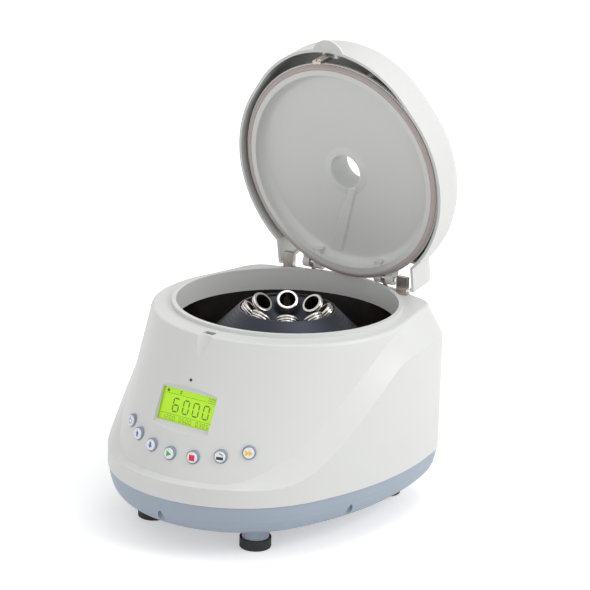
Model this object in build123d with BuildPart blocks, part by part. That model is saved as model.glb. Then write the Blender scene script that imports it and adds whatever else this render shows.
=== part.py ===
from build123d import *
from math import cos, radians, sin, sqrt
import os

# Benchtop centrifuge with an eight-place angle rotor, modelled with its lid open.
# While it is modelled, x = y = 0 is the rotor's axis, z = 0 the bench and -Y the operator's side.
# The last step moves every piece so that the origin lies under the middle of the open instrument.


# Housing
SEAM_Z = 59.0
DECK_Z = 209.0
WALL = 3.0
BODY_FRONT = 213.0
FRONT_RADIUS = 134.0
FRONT_TURN = 67.1
SIDE_RADIUS = 330.0
SIDE_TURN = 37.1
CORNER_RADIUS = 45.0
REAR_TURN = 17.0
DECK_FRONT = 144.0
DECK_RADIUS = 135.0
DECK_TURN = 102.5
DECK_SIDE = 67.0
DECK_CORNER = 28.0
DECK_REAR_TURN = 19.3
CONE_FOOT_Z = 70.0
CONE_INSET = 5.5
DECK_EDGE = 3.0

# The shoulder's two S-shaped lines: lowest and highest point, and where along the outline they climb
LOWER_LINE = (77.5, 181.0, 0.215, 0.58)
UPPER_LINE = (79.5, 205.0, 0.10, 0.53)
LINE_EASE = 1.15
STATIONS = 24

# Finger scoop in the deck's front edge
SCOOP_X = 2.0
SCOOP_Y = 156.5
SCOOP_RADIUS = 17.0
SCOOP_FOOT_RADIUS = 9.0
SCOOP_FLOOR_Z = 186.0

# Base tray and feet
SEAM_GAP = 0.6
TRAY_FLOOR_Z = 25.0
TRAY_STEP = 0.8
FOOT_X = 64.7
FOOT_Y = 137.0
REAR_FOOT_X = 84.0
REAR_FOOT_Y = 70.0
FOOT_RADIUS = 16.0
FOOT_HEIGHT = 11.0
BOSS_RADIUS = 13.75
FOOT_SCREW_RADIUS = 2.0
FOOT_SCREW_HEAD = 3.9
FOOT_SCREW_LENGTH = 17.0
FOOT_RECESS = 4.5

# Screws between tray and housing
CASE_SCREW_RADIUS = 1.75
CASE_SCREW_HEAD = 3.4
CASE_SCREW_RISE = 12.0
CASE_SCREW_INSET = 8.0
CASE_SCREW_STATIONS = (0.0, 0.405, 0.81)
CASE_SCREW_SEAT_Z = 48.0
POST_RADIUS = 5.2

# Clearance of parts that are put together without force
PLAY = 0.1

# Chamber
CHAMBER_RADIUS = 115.0
BEAD_RADIUS = 119.5
BEAD_Z = 212.7
COLLAR_Z = 189.0
BOWL_RADIUS = 115.5
BOWL_WALL = 0.8
BOWL_RIM_RADIUS = 119.0
BOWL_FLOOR_Z = 117.0
BOWL_CORNER = 22.0
BOWL_HOLE_RADIUS = 19.0

# Drive: plate on four rubber mounts, motor, shaft and seal
PLATE_Z = 50.0
PLATE_THICK = 3.0
PLATE_SCREW_RADIUS = 2.5
MOUNT_SPACING = 96.0
MOUNT_FOOT_Z = 34.0
MOUNT_RADIUS = 8.0
MOUNT_WAIST = 6.2
MOTOR_RADIUS = 44.0
MOTOR_TOP_Z = 104.0
MOTOR_BOSS_RADIUS = 14.0
MOTOR_BOSS_Z = 112.0
SHAFT_RADIUS = 6.0
SHAFT_FOOT_Z = 62.0
SHAFT_PLAY = 0.05
SEAL_PLAY = 0.35

# Rotor
PLACES = 8
RING_RADIUS = 50.7
RING_Z = 204.4
RING_LIP = 1.7
ROTOR_RADIUS = 106.0
ROTOR_BAND = 25.0
HUB_RADIUS = 17.0
HUB_FOOT_Z = 150.0
HUB_TOP_Z = 168.0
WEB_Z = 158.0
MOUTH_RADIUS = 35.5
MOUTH_Z = 202.3
TUBE_TILT = 45.0
NUT_RADIUS = 11.0
NUT_HEIGHT = 13.0
THREAD_RADIUS = 4.0

# Tube shields
SHIELD_RADIUS = 9.4
SHIELD_WALL = 0.8
SHIELD_LENGTH = 86.0
SHIELD_RIM = 11.6
SHIELD_NECK = 10.2
SHIELD_COLLAR = 9.9
SHIELD_SEAT = 10.0
SHIELD_PLAY = 0.2
SHIELD_ROUND = 4.0
CUSHION_THICK = 3.0

# Display and status lamp
DISPLAY_Y = 165.6
DISPLAY_Z = 138.6
DISPLAY_LEAN = 20.8
DISPLAY_WIDTH = 67.6
DISPLAY_HEIGHT = 34.8
DISPLAY_REACH = 13.0
WINDOW_MARGIN = 0.8
PANE_THICK = 1.5
PANE_LAP = 1.6
POD_DEPTH = 8.0
LCD_THICK = 3.5
LAMP_HOLE_RADIUS = 1.5
LAMP_Z = 167.8

# Control board behind the display
BOARD_THICK = 1.6
BOARD_POST_X = 39.5
BOARD_POST_Y = 17.0
BOARD_POST_RADIUS = 3.0
BOARD_SCREW_RADIUS = 1.3

# Front buttons, from the left
BUTTON_X = (-66.0, -48.0, -25.0, 0.0, 26.0, 52.0, 75.0)
BUTTON_Z = (112.5, 106.0, 102.0, 100.0, 101.0, 105.0, 110.0)
BUTTON_CENTRE_Y = -20.0
BUTTON_RISE = 8.0
BEZEL_RADIUS = 6.8
BEZEL_BORE = 5.9
BEZEL_PROUD = 2.1
BEZEL_DEPTH = 13.0
KEY_RADIUS = 5.6
KEY_PROUD = 1.2
KEY_TRAVEL = 1.0
KEY_LENGTH = 9.0
KEY_NAMES = ("power_button", "up_button", "down_button", "start_button", "stop_button", "lid_button",
             "pulse_button")

# Hinge
HINGE_Y = 113.9
HINGE_Z = 219.5
OPEN_ANGLE = 79.7
PIN_RADIUS = 2.5
PIN_START = 33.6
PIN_END = 58.6
KNUCKLE_X = (43.4, 48.6)
KNUCKLE_RADIUS = 4.5
KNUCKLE_PLAY = 0.7
LUG_X = ((34.4, 43.0), (49.0, 57.4))
LUG_RADIUS = 6.3
BLOCK_X = (66.5, 79.0)
BLOCK_Y = (103.0, 108.7)
BLOCK_TOP_Z = 227.5
BRACKET_THICK = 2.0

# Lid shell, measured with the lid closed
LIP_Z = 210.2
LIP_RADIUS = 127.0
NOSE_RADIUS = 112.0
NOSE_SHIFT = 25.0
LID_WALL = 3.0
DOME_ROUND = 20.0
DOME_TOP_Z = 258.0
TAIL_X = 87.0
TAIL_Y = 119.0
TAIL_MOUTH_X = 81.5
TAIL_MOUTH_Y = 96.0
NOSE_Y = NOSE_SHIFT + NOSE_RADIUS
TAB_RADIUS = 20.0
TAB_REACH = 11.0
TAB_ROOT_Y = NOSE_Y - 0.8 * LID_WALL
TAB_Z = 209.6
TAB_THICK = 2.6

# Inner lid and gasket
LINER_RADIUS = 120.0
LINER_RING = 113.2
LINER_LIP_IN = 107.5
LINER_LIP_Z = 213.5
LINER_PLATE = 2.5
LINER_FLOOR_Z = 226.5
FLANGE_THICK = 2.6
DISH_ROUND = 9.0
RIB_HEIGHT = 2.6
RIB_FOOT = ((2.5, 20), (12.5, 20), (-10.5, 97), (-28.5, 97))
RIB_CREST = ((4.5, 21.5), (11, 21.5), (-13, 95.5), (-26, 95.5))
GASKET_IN = 113.3
GASKET_OUT = 118.6
GASKET_TOP_Z = 216.3
GASKET_GAP = 0.3
GASKET_STEP = 115.8
GASKET_BEVEL = 1.9

# Port through the lid and its window
PORT_Y = 2.5
PORT_RADIUS = 18.2
PORT_RING = 20.2
PORT_RING_Z = 225.0
SWELL_RADIUS = 27.0
SIGHT_Z = 254.6
SIGHT_RADIUS = 19.4
SIGHT_THICK = 2.0

# Screws of the inner lid
LID_SCREW_CIRCLE = 116.4
LID_SCREW_TURNS = (20, 160, 205, 250, 290, 335)
LID_SCREW_RADIUS = 1.1
LID_SCREW_HEAD = 2.1
LID_SCREW_SINK = 1.4
LID_BOSS_RADIUS = 2.9

# Striker on the lid and its slot in the deck
STRIKER_Y = 131.25
STRIKER_WIDTH = 10.0
STRIKER_THICK = 2.5
STRIKER_TIP_Z = 188.0
STRIKER_TOP_Z = 236.0
STRIKER_HOLE_Z = 193.5
STRIKER_HOLE_RADIUS = 3.4
SLOT_Y = 132.6
SLOT_WIDTH = 7.6
SLOT_LENGTH = 13.0

# Latch below the slot
LATCH_CHEEK = 9.5
SHEET = 1.5
FRAME_THICK = 1.6
PAWL_Y = -125.0
PAWL_Z = 178.0
LATCH_PIN_RADIUS = 2.0
SOLENOID_Z = 166.0
PLUNGER_RADIUS = 3.0
COIL_LENGTH = 23.0
COIL_RADIUS = 8.0

# Rear panel with inlet, switch and air slots
REAR_PANEL_X = 32.0
REAR_PANEL_Y = 119.5
REAR_PANEL_Z = 92.0
REAR_PANEL_WIDTH = 78.0
REAR_PANEL_HEIGHT = 34.0
REAR_PANEL_WALL = 3.0
INLET_X = 48.0
INLET_Z = 92.0
INLET_WIDTH = 27.0
INLET_HEIGHT = 20.0
SWITCH_X = 6.0
SWITCH_WIDTH = 13.0
SWITCH_HEIGHT = 19.0
ROCKER_Y = 122.0
VENT_COUNT = 9
VENT_PITCH = 7.0
VENT_WIDTH = 3.0
VENT_HEIGHT = 34.0
VENT_X = -62.0
VENT_Z = 100.0

# Power board and transformer on the tray
BOARD_Z = 36.0
BOARD_LENGTH = 124.0
BOARD_DEPTH = 40.0
BOARD_Y = 86.0
board_points = [(-57, 70), (57, 70), (-57, 102), (57, 102)]
TRANSFORMER_Y = 140.0


def body_line(inset):
    """Right half of the housing's plan outline, from the front centre to the rear centre."""
    with BuildLine() as line:
        front = JernArc((0, -BODY_FRONT + inset), (1, 0), FRONT_RADIUS - inset, FRONT_TURN)
        flank = JernArc(front @ 1, front % 1, SIDE_RADIUS - inset, SIDE_TURN)
        turn = 180 - FRONT_TURN - SIDE_TURN - REAR_TURN
        corner = JernArc(flank @ 1, flank % 1, CORNER_RADIUS - inset, turn)
        JernArc(corner @ 1, corner % 1, (corner @ 1).X / sin(radians(REAR_TURN)), REAR_TURN)
    return line.wires()[0]


def deck_line(inset):
    """Right half of the deck's plan outline, which is smaller and set back."""
    with BuildLine() as line:
        front = JernArc((0, -DECK_FRONT + inset), (1, 0), DECK_RADIUS - inset, DECK_TURN)
        flank = Line(front @ 1, front @ 1 + (front % 1) * DECK_SIDE)
        turn = 180 - DECK_TURN - DECK_REAR_TURN
        corner = JernArc(flank @ 1, flank % 1, DECK_CORNER - inset, turn)
        JernArc(corner @ 1, corner % 1, (corner @ 1).X / sin(radians(DECK_REAR_TURN)), DECK_REAR_TURN)
    return line.wires()[0]


def climb(station, line):
    """Height of one shoulder line at a fraction of the way round the outline."""
    low, high, start, end = line
    share = min(max((station - start) / (end - start), 0), 1) ** LINE_EASE
    return low + (high - low) * share * share * (3 - 2 * share)


def half_curve(points):
    """Smooth curve through the right half's points, square to the middle plane at both ends."""
    marks = [index / (len(points) - 1) for index in range(len(points))]
    return Edge.make_spline(points, tangents=[(1, 0, 0), (-1, 0, 0)], parameters=marks)


def mirrored_solid(curves):
    """Solid whose skin runs from curve to curve, closed flat below and above."""
    strips = [Face.make_surface_from_curves(low, high) for low, high in zip(curves, curves[1:])]
    ends = [Face(Wire([edge, edge.mirror(Plane.YZ)])) for edge in (curves[0], curves[-1])]
    return Solid(Shell(strips + [strip.mirror(Plane.YZ) for strip in strips] + ends))


def rings(levels):
    """Half curves at (height, inset) levels of the body outline."""
    marks = [index / STATIONS for index in range(STATIONS + 1)]
    curves = []
    for height, inset in levels:
        line = body_line(inset)
        curves.append(half_curve([line @ mark + Vector(0, 0, height) for mark in marks]))
    return curves


def housing_form(inset, foot):
    """Upper housing's form: upright skirt, S-shaped shoulder, forward-leaning cone and flat deck."""
    marks = [index / STATIONS for index in range(STATIONS + 1)]
    skirt = body_line(inset)
    cone_foot = body_line(CONE_INSET + inset)
    deck = deck_line(inset)
    top = DECK_Z - inset
    lower = []
    upper = []
    for mark in marks:
        low = climb(mark, LOWER_LINE) - inset
        high = climb(mark, UPPER_LINE) - inset
        share = (top - high) / (top - CONE_FOOT_Z + inset)
        lower.append(skirt @ mark + Vector(0, 0, low))
        upper.append((deck @ mark) * (1 - share) + (cone_foot @ mark) * share + Vector(0, 0, high))
    curves = [half_curve([skirt @ mark + Vector(0, 0, foot) for mark in marks])]
    curves += [half_curve(lower), half_curve(upper)]
    for drop, shrink in ((DECK_EDGE, 0), (0.9, 0.9), (0, DECK_EDGE)):
        line = deck_line(inset + shrink)
        curves.append(half_curve([line @ mark + Vector(0, 0, top - drop) for mark in marks]))
    return mirrored_solid(curves)


def front_spot(x, z, inset):
    """Point of the front cone at a given x and z, found by halving along the outline."""
    deck = deck_line(inset)
    foot = body_line(CONE_INSET + inset)
    share = (DECK_Z - z) / (DECK_Z - CONE_FOOT_Z)
    low, high = 0.0, 0.3
    for _ in range(30):
        middle = (low + high) / 2
        spot = (deck @ middle) * (1 - share) + (foot @ middle) * share
        if spot.X < abs(x):
            low = middle
        else:
            high = middle
    return Vector(x, spot.Y, z)


def button_plane(x, z):
    """Plane on the front cone that faces out along one button's axis."""
    spot = front_spot(x, z, 0)
    out = Vector(x, spot.Y - BUTTON_CENTRE_Y, 0).normalized()
    rise = radians(BUTTON_RISE)
    normal = out * cos(rise) + Vector(0, 0, sin(rise))
    return Plane(origin=spot, x_dir=(-out.Y, out.X, 0), z_dir=normal)


def lid_point(x, y, z):
    """Where a point of the closed lid lies while the lid is open."""
    turn = radians(OPEN_ANGLE)
    back = y - HINGE_Y
    rise = z - HINGE_Z
    return Vector(x, HINGE_Y + back * cos(turn) + rise * sin(turn), HINGE_Z - back * sin(turn) + rise * cos(turn))


LID_UP = (0, sin(radians(OPEN_ANGLE)), cos(radians(OPEN_ANGLE)))
LID_BACK = (0, cos(radians(OPEN_ANGLE)), -sin(radians(OPEN_ANGLE)))


def lid_level(z):
    """Plane parallel to the lid's rim: local x and y as on the closed lid."""
    return Plane(origin=lid_point(0, 0, z), x_dir=(1, 0, 0), z_dir=LID_UP)


def lid_side(x):
    """Plane across the lid: local x is the closed lid's y, local y its z."""
    return Plane(origin=lid_point(x, 0, 0), x_dir=LID_BACK, z_dir=(1, 0, 0))


def tube_plane(place, depth):
    """Plane square to one tube's axis, at a depth below its mouth."""
    turn = radians(90 + 35 + 360 / PLACES * place)
    out = Vector(cos(turn), sin(turn), 0)
    tilt = radians(TUBE_TILT)
    down = out * cos(tilt) - Vector(0, 0, sin(tilt))
    mouth = out * MOUTH_RADIUS + Vector(0, 0, MOUTH_Z)
    return Plane(origin=mouth + down * depth, x_dir=(-out.Y, out.X, 0), z_dir=down)


DISPLAY_NORMAL = (0, -cos(radians(DISPLAY_LEAN)), sin(radians(DISPLAY_LEAN)))


def display_plane(lift):
    """Plane parallel to the display, a lift in front of its face."""
    lean = radians(DISPLAY_LEAN)
    spot = Vector(0, -DISPLAY_Y - lift * cos(lean), DISPLAY_Z + lift * sin(lean))
    return Plane(origin=spot, x_dir=(1, 0, 0), z_dir=DISPLAY_NORMAL)


# Fixing points of the two halves of the case
case_line = body_line(CASE_SCREW_INSET)
case_spots = [case_line @ mark for mark in CASE_SCREW_STATIONS]
case_points = [(case_spots[0].X, case_spots[0].Y)]
for spot in case_spots[1:]:
    case_points += [(spot.X, spot.Y), (-spot.X, spot.Y)]
foot_points = [(FOOT_X, -FOOT_Y), (-FOOT_X, -FOOT_Y), (REAR_FOOT_X, REAR_FOOT_Y), (-REAR_FOOT_X, REAR_FOOT_Y)]
button_planes = [button_plane(x, z) for x, z in zip(BUTTON_X, BUTTON_Z)]

# Upper housing
outer_form = housing_form(0, SEAM_Z)
shell = outer_form - housing_form(WALL, SEAM_Z - 1)

with BuildPart() as inner_bosses:
    with BuildSketch(display_plane(PANE_THICK + 0.1)):
        Rectangle(DISPLAY_WIDTH + 8, DISPLAY_HEIGHT + 8)
    extrude(amount=DISPLAY_REACH)
    with BuildSketch(display_plane(-POD_DEPTH)):
        with GridLocations(2 * BOARD_POST_X, 2 * BOARD_POST_Y, 2, 2):
            Circle(BOARD_POST_RADIUS)
    extrude(amount=POD_DEPTH + 5.2)
    with BuildSketch(Plane.XY.offset(SCOOP_FLOOR_Z - WALL)):
        with Locations((SCOOP_X, -SCOOP_Y - 6)):
            Circle(SCOOP_FOOT_RADIUS + WALL)
    with BuildSketch(Plane.XY.offset(DECK_Z)):
        with Locations((SCOOP_X, -SCOOP_Y)):
            Circle(SCOOP_RADIUS + WALL)
    loft()
    with BuildSketch(Plane.XY.offset(SEAM_Z)):
        with Locations(*case_points):
            Circle(POST_RADIUS)
    extrude(amount=CASE_SCREW_RISE + 3)
    with BuildSketch(Plane.XZ.offset(-REAR_PANEL_Y + REAR_PANEL_WALL)):
        with Locations((REAR_PANEL_X, REAR_PANEL_Z)):
            Rectangle(REAR_PANEL_WIDTH + 6, REAR_PANEL_HEIGHT + 6)
    extrude(amount=-20)

with BuildPart() as upper_housing:
    add(shell)
    add(inner_bosses.part & outer_form)
    with BuildSketch(Plane.XY.offset(COLLAR_Z)):
        Circle(BEAD_RADIUS)
    extrude(amount=BEAD_Z - COLLAR_Z)
    with BuildSketch(Plane.XY.offset(COLLAR_Z - 1)):
        Circle(CHAMBER_RADIUS)
    extrude(amount=BEAD_Z - COLLAR_Z + 2, mode=Mode.SUBTRACT)
    # Pocket of the display, wider at its top and bottom, with the window in its floor
    with BuildSketch(display_plane(PANE_THICK + 0.1 + FRAME_THICK)):
        Rectangle(DISPLAY_WIDTH, DISPLAY_HEIGHT)
    with BuildSketch(display_plane(PANE_THICK + 0.1 + FRAME_THICK + 14)):
        Rectangle(DISPLAY_WIDTH, DISPLAY_HEIGHT + 28)
    loft(mode=Mode.SUBTRACT)
    with BuildSketch(display_plane(0)):
        Rectangle(DISPLAY_WIDTH - 2 * WINDOW_MARGIN, DISPLAY_HEIGHT - 2 * WINDOW_MARGIN)
    extrude(amount=6, mode=Mode.SUBTRACT)
    with BuildSketch(display_plane(-LCD_THICK - 1)):
        Rectangle(DISPLAY_WIDTH + 2 * PANE_LAP + 0.6, DISPLAY_HEIGHT + 2 * PANE_LAP + 0.6)
    extrude(amount=LCD_THICK + 1 + PANE_THICK + 0.1, mode=Mode.SUBTRACT)
    with BuildSketch(display_plane(-POD_DEPTH)):
        with GridLocations(2 * BOARD_POST_X, 2 * BOARD_POST_Y, 2, 2):
            Circle(BOARD_SCREW_RADIUS + PLAY)
    extrude(amount=6, mode=Mode.SUBTRACT)
    # Lamp hole above the display and the seven button holes below it
    with BuildSketch(Plane(origin=front_spot(0, LAMP_Z, 0), x_dir=(1, 0, 0), z_dir=DISPLAY_NORMAL)):
        Circle(LAMP_HOLE_RADIUS)
    extrude(amount=6, both=True, mode=Mode.SUBTRACT)
    for plane in button_planes:
        with BuildSketch(plane):
            Circle(BEZEL_RADIUS + PLAY)
        extrude(amount=BEZEL_DEPTH, both=True, mode=Mode.SUBTRACT)
    # Finger scoop and latch slot
    with BuildSketch(Plane.XY.offset(SCOOP_FLOOR_Z)):
        with Locations((SCOOP_X, -SCOOP_Y - 6)):
            Circle(SCOOP_FOOT_RADIUS)
    with BuildSketch(Plane.XY.offset(DECK_Z + 0.5)):
        with Locations((SCOOP_X, -SCOOP_Y)):
            Circle(SCOOP_RADIUS)
    loft(mode=Mode.SUBTRACT)
    with BuildSketch(Plane.XY.offset(DECK_Z)):
        with Locations((0, -SLOT_Y)):
            RectangleRounded(SLOT_LENGTH, SLOT_WIDTH, 1.5)
    extrude(amount=-WALL - 1, mode=Mode.SUBTRACT)
    # Flat recess at the back with openings for the inlet and the switch, and slots for cooling air
    with BuildSketch(Plane.XZ.offset(-REAR_PANEL_Y)):
        with Locations((REAR_PANEL_X, REAR_PANEL_Z)):
            RectangleRounded(REAR_PANEL_WIDTH, REAR_PANEL_HEIGHT, 3)
    extrude(amount=-20, mode=Mode.SUBTRACT)
    with BuildSketch(Plane.XZ.offset(-REAR_PANEL_Y - 1)):
        with Locations((INLET_X, INLET_Z)):
            Rectangle(INLET_WIDTH + 2 * PLAY, INLET_HEIGHT + 2 * PLAY)
        with Locations((SWITCH_X, INLET_Z)):
            Rectangle(SWITCH_WIDTH + 2 * PLAY, SWITCH_HEIGHT + 2 * PLAY)
    extrude(amount=REAR_PANEL_WALL + 2, mode=Mode.SUBTRACT)
    with BuildSketch(Plane.XZ.offset(-90)):
        with Locations((VENT_X, VENT_Z)):
            with GridLocations(VENT_PITCH, 1, VENT_COUNT, 1):
                SlotOverall(VENT_HEIGHT, VENT_WIDTH, rotation=90)
    extrude(amount=-50, mode=Mode.SUBTRACT)
    with BuildSketch(Plane.XY.offset(SEAM_Z)):
        with Locations(*case_points):
            Circle(CASE_SCREW_RADIUS + PLAY)
    extrude(amount=CASE_SCREW_RISE, mode=Mode.SUBTRACT)

# Base tray
tray_levels = [(TRAY_FLOOR_Z, 24), (TRAY_FLOOR_Z + 0.7, 20), (28.3, 14.6), (31.5, 10.4), (36, 6.8), (42, 4.1),
               (49, 2.2), (SEAM_Z - SEAM_GAP, TRAY_STEP)]
tray_hollow = [(height + WALL, inset + WALL) for height, inset in tray_levels]
tray_hollow[-1] = (SEAM_Z + 1, TRAY_STEP + WALL)
tray_skin = mirrored_solid(rings(tray_levels))
tray_shell = tray_skin - mirrored_solid(rings(tray_hollow))

with BuildPart() as tray_posts:
    with BuildSketch(Plane.XY.offset(TRAY_FLOOR_Z)):
        with Locations(*case_points):
            Circle(POST_RADIUS + 1.5)
    extrude(amount=SEAM_Z - SEAM_GAP - TRAY_FLOOR_Z)
    with BuildSketch(Plane.XY.offset(TRAY_FLOOR_Z)):
        with GridLocations(MOUNT_SPACING, MOUNT_SPACING, 2, 2):
            Circle(MOUNT_RADIUS + 1)
    extrude(amount=MOUNT_FOOT_Z - TRAY_FLOOR_Z)
    with BuildSketch(Plane.XY.offset(TRAY_FLOOR_Z)):
        with Locations(*board_points):
            Circle(3.5)
    extrude(amount=BOARD_Z - TRAY_FLOOR_Z)

with BuildPart() as base_tray:
    add(tray_shell)
    add(tray_posts.part & tray_skin)
    with BuildSketch(Plane.XY.offset(FOOT_HEIGHT)):
        with Locations(*foot_points):
            Circle(BOSS_RADIUS)
    extrude(amount=TRAY_FLOOR_Z + WALL + 8 - FOOT_HEIGHT)
    with BuildSketch(Plane.XY.offset(FOOT_HEIGHT)):
        with Locations(*foot_points):
            Circle(FOOT_SCREW_RADIUS + PLAY)
    extrude(amount=FOOT_SCREW_LENGTH, mode=Mode.SUBTRACT)
    with BuildSketch(Plane.XY.offset(TRAY_FLOOR_Z - 2)):
        with Locations(*case_points):
            Circle(CASE_SCREW_HEAD + 1)
    extrude(amount=CASE_SCREW_SEAT_Z - TRAY_FLOOR_Z + 2, mode=Mode.SUBTRACT)
    with BuildSketch(Plane.XY.offset(CASE_SCREW_SEAT_Z)):
        with Locations(*case_points):
            Circle(CASE_SCREW_RADIUS + PLAY)
    extrude(amount=20, mode=Mode.SUBTRACT)
    with BuildSketch(Plane.XY.offset(BOARD_Z)):
        with Locations(*board_points):
            Circle(BOARD_SCREW_RADIUS + PLAY)
    extrude(amount=-8, mode=Mode.SUBTRACT)

# Feet and their screws
with BuildPart() as rubber_feet:
    with BuildSketch():
        with Locations(*foot_points):
            Circle(FOOT_RADIUS)
    extrude(amount=FOOT_HEIGHT)
    fillet(rubber_feet.edges().group_by(Axis.Z)[0], 1.5)
    with BuildSketch():
        with Locations(*foot_points):
            Circle(FOOT_SCREW_HEAD + PLAY)
    extrude(amount=FOOT_RECESS + 2.4, mode=Mode.SUBTRACT)
    with BuildSketch():
        with Locations(*foot_points):
            Circle(FOOT_SCREW_RADIUS + PLAY)
    extrude(amount=FOOT_HEIGHT, mode=Mode.SUBTRACT)


def screws(plane, points, radius, head, head_height, length):
    """Pan-head screws with a cross recess: the plane is the seat and its normal points to the tip."""
    with BuildPart() as group:
        with BuildSketch(plane):
            with Locations(*points):
                Circle(head)
        extrude(amount=-head_height)
        with BuildSketch(plane):
            with Locations(*points):
                Circle(radius)
        extrude(amount=length)
        with BuildSketch(plane.offset(-head_height)):
            with Locations(*points):
                Rectangle(head * 1.1, head * 0.24)
                Rectangle(head * 0.24, head * 1.1)
        extrude(amount=head_height * 0.5, mode=Mode.SUBTRACT)
    return group.part


foot_screws = screws(Plane.XY.offset(FOOT_RECESS + 2.4), foot_points, FOOT_SCREW_RADIUS, FOOT_SCREW_HEAD, 2.4,
                     FOOT_SCREW_LENGTH)
case_screws = screws(Plane.XY.offset(CASE_SCREW_SEAT_Z), case_points, CASE_SCREW_RADIUS, CASE_SCREW_HEAD, 2.2,
                     SEAM_Z - CASE_SCREW_SEAT_Z + CASE_SCREW_RISE - 1)

# Chamber bowl and the rubber seal round the motor's nose
with BuildPart() as chamber_bowl:
    with BuildSketch(Plane.XZ) as bowl_section:
        with BuildLine():
            inner = Polyline((BOWL_HOLE_RADIUS, BOWL_FLOOR_Z), (BOWL_RADIUS - BOWL_CORNER, BOWL_FLOOR_Z))
            bend = JernArc(inner @ 1, (1, 0), BOWL_CORNER, 90)
            wall = Line(bend @ 1, (BOWL_RADIUS, COLLAR_Z - 0.05))
            rim = Polyline(wall @ 1, (BOWL_RIM_RADIUS, COLLAR_Z - 0.05), (BOWL_RIM_RADIUS, COLLAR_Z - 0.05 - BOWL_WALL),
                           (BOWL_RADIUS + BOWL_WALL, COLLAR_Z - 0.05 - BOWL_WALL),
                           (BOWL_RADIUS + BOWL_WALL, BOWL_FLOOR_Z + BOWL_CORNER))
            outer_bend = JernArc(rim @ 1, (0, -1), BOWL_CORNER + BOWL_WALL, -90)
            Polyline(outer_bend @ 1, (BOWL_HOLE_RADIUS, BOWL_FLOOR_Z - BOWL_WALL), (BOWL_HOLE_RADIUS, BOWL_FLOOR_Z))
        make_face()
    revolve(axis=Axis.Z)

with BuildPart() as motor_seal:
    with BuildSketch(Plane.XZ):
        with BuildLine():
            Polyline((MOTOR_BOSS_RADIUS + PLAY, MOTOR_TOP_Z + 3), (BOWL_HOLE_RADIUS - PLAY, MOTOR_TOP_Z + 3),
                     (BOWL_HOLE_RADIUS - PLAY, BOWL_FLOOR_Z + 0.05), (BOWL_HOLE_RADIUS + 3, BOWL_FLOOR_Z + 0.05),
                     (BOWL_HOLE_RADIUS + 3, BOWL_FLOOR_Z + 2), (SHAFT_RADIUS + SEAL_PLAY, BOWL_FLOOR_Z + 4),
                     (SHAFT_RADIUS + SEAL_PLAY, MOTOR_BOSS_Z + 0.2), (MOTOR_BOSS_RADIUS + PLAY, MOTOR_BOSS_Z + 0.2),
                     close=True)
        make_face()
    revolve(axis=Axis.Z)

# Motor on its sprung plate
with BuildPart() as motor_plate:
    with BuildSketch(Plane.XY.offset(PLATE_Z)):
        RectangleRounded(MOUNT_SPACING + 24, MOUNT_SPACING + 24, 14)
        with GridLocations(MOUNT_SPACING, MOUNT_SPACING, 2, 2):
            Circle(PLATE_SCREW_RADIUS + PLAY, mode=Mode.SUBTRACT)
    extrude(amount=PLATE_THICK)

with BuildPart() as mount:
    with BuildSketch(Plane.XZ) as mount_section:
        with BuildLine():
            foot_z = MOUNT_FOOT_Z
            ThreePointArc((MOUNT_RADIUS, foot_z + 3), (MOUNT_WAIST, (foot_z + PLATE_Z) / 2), (MOUNT_RADIUS, PLATE_Z - 3))
            Polyline((MOUNT_RADIUS, PLATE_Z - 3), (MOUNT_RADIUS, PLATE_Z), (PLATE_SCREW_RADIUS + PLAY, PLATE_Z),
                     (PLATE_SCREW_RADIUS + PLAY, PLATE_Z - 9), (0, PLATE_Z - 9), (0, foot_z), (MOUNT_RADIUS, foot_z),
                     (MOUNT_RADIUS, foot_z + 3))
        make_face()
    revolve(axis=Axis.Z)
mount_reach = MOUNT_SPACING / 2
mount_points = [(x, y) for x in (-mount_reach, mount_reach) for y in (-mount_reach, mount_reach)]
vibration_mounts = Part() + [Pos(x, y) * mount.part for x, y in mount_points]
plate_screws = screws(Plane(origin=(0, 0, PLATE_Z + PLATE_THICK), x_dir=(1, 0, 0), z_dir=(0, 0, -1)),
                      mount_points, PLATE_SCREW_RADIUS, 4.2, 2.6, 11)

with BuildPart() as motor_body:
    with BuildSketch(Plane.XZ):
        with BuildLine():
            base = PLATE_Z + PLATE_THICK
            Polyline((0, base), (MOTOR_RADIUS, base), (MOTOR_RADIUS, base + 8), (MOTOR_RADIUS - 2, base + 9),
                     (MOTOR_RADIUS - 2, MOTOR_TOP_Z - 12), (MOTOR_RADIUS, MOTOR_TOP_Z - 11),
                     (MOTOR_RADIUS, MOTOR_TOP_Z - 3), (MOTOR_RADIUS - 3, MOTOR_TOP_Z),
                     (MOTOR_BOSS_RADIUS, MOTOR_TOP_Z), (MOTOR_BOSS_RADIUS, MOTOR_BOSS_Z),
                     (SHAFT_RADIUS + SHAFT_PLAY, MOTOR_BOSS_Z), (SHAFT_RADIUS + SHAFT_PLAY, SHAFT_FOOT_Z - 0.5),
                     (0, SHAFT_FOOT_Z - 0.5), (0, base))
        make_face()
    revolve(axis=Axis.Z)

with BuildPart() as motor_shaft:
    with BuildSketch(Plane.XY.offset(SHAFT_FOOT_Z)):
        Circle(SHAFT_RADIUS)
    extrude(amount=HUB_TOP_Z - SHAFT_FOOT_Z)
    with BuildSketch(Plane.XY.offset(HUB_TOP_Z)):
        Circle(THREAD_RADIUS)
    extrude(amount=10)
    with BuildSketch(Plane.XY.offset(HUB_FOOT_Z - 4)):
        Circle(SHAFT_RADIUS + 3.5)
    extrude(amount=4)

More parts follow.
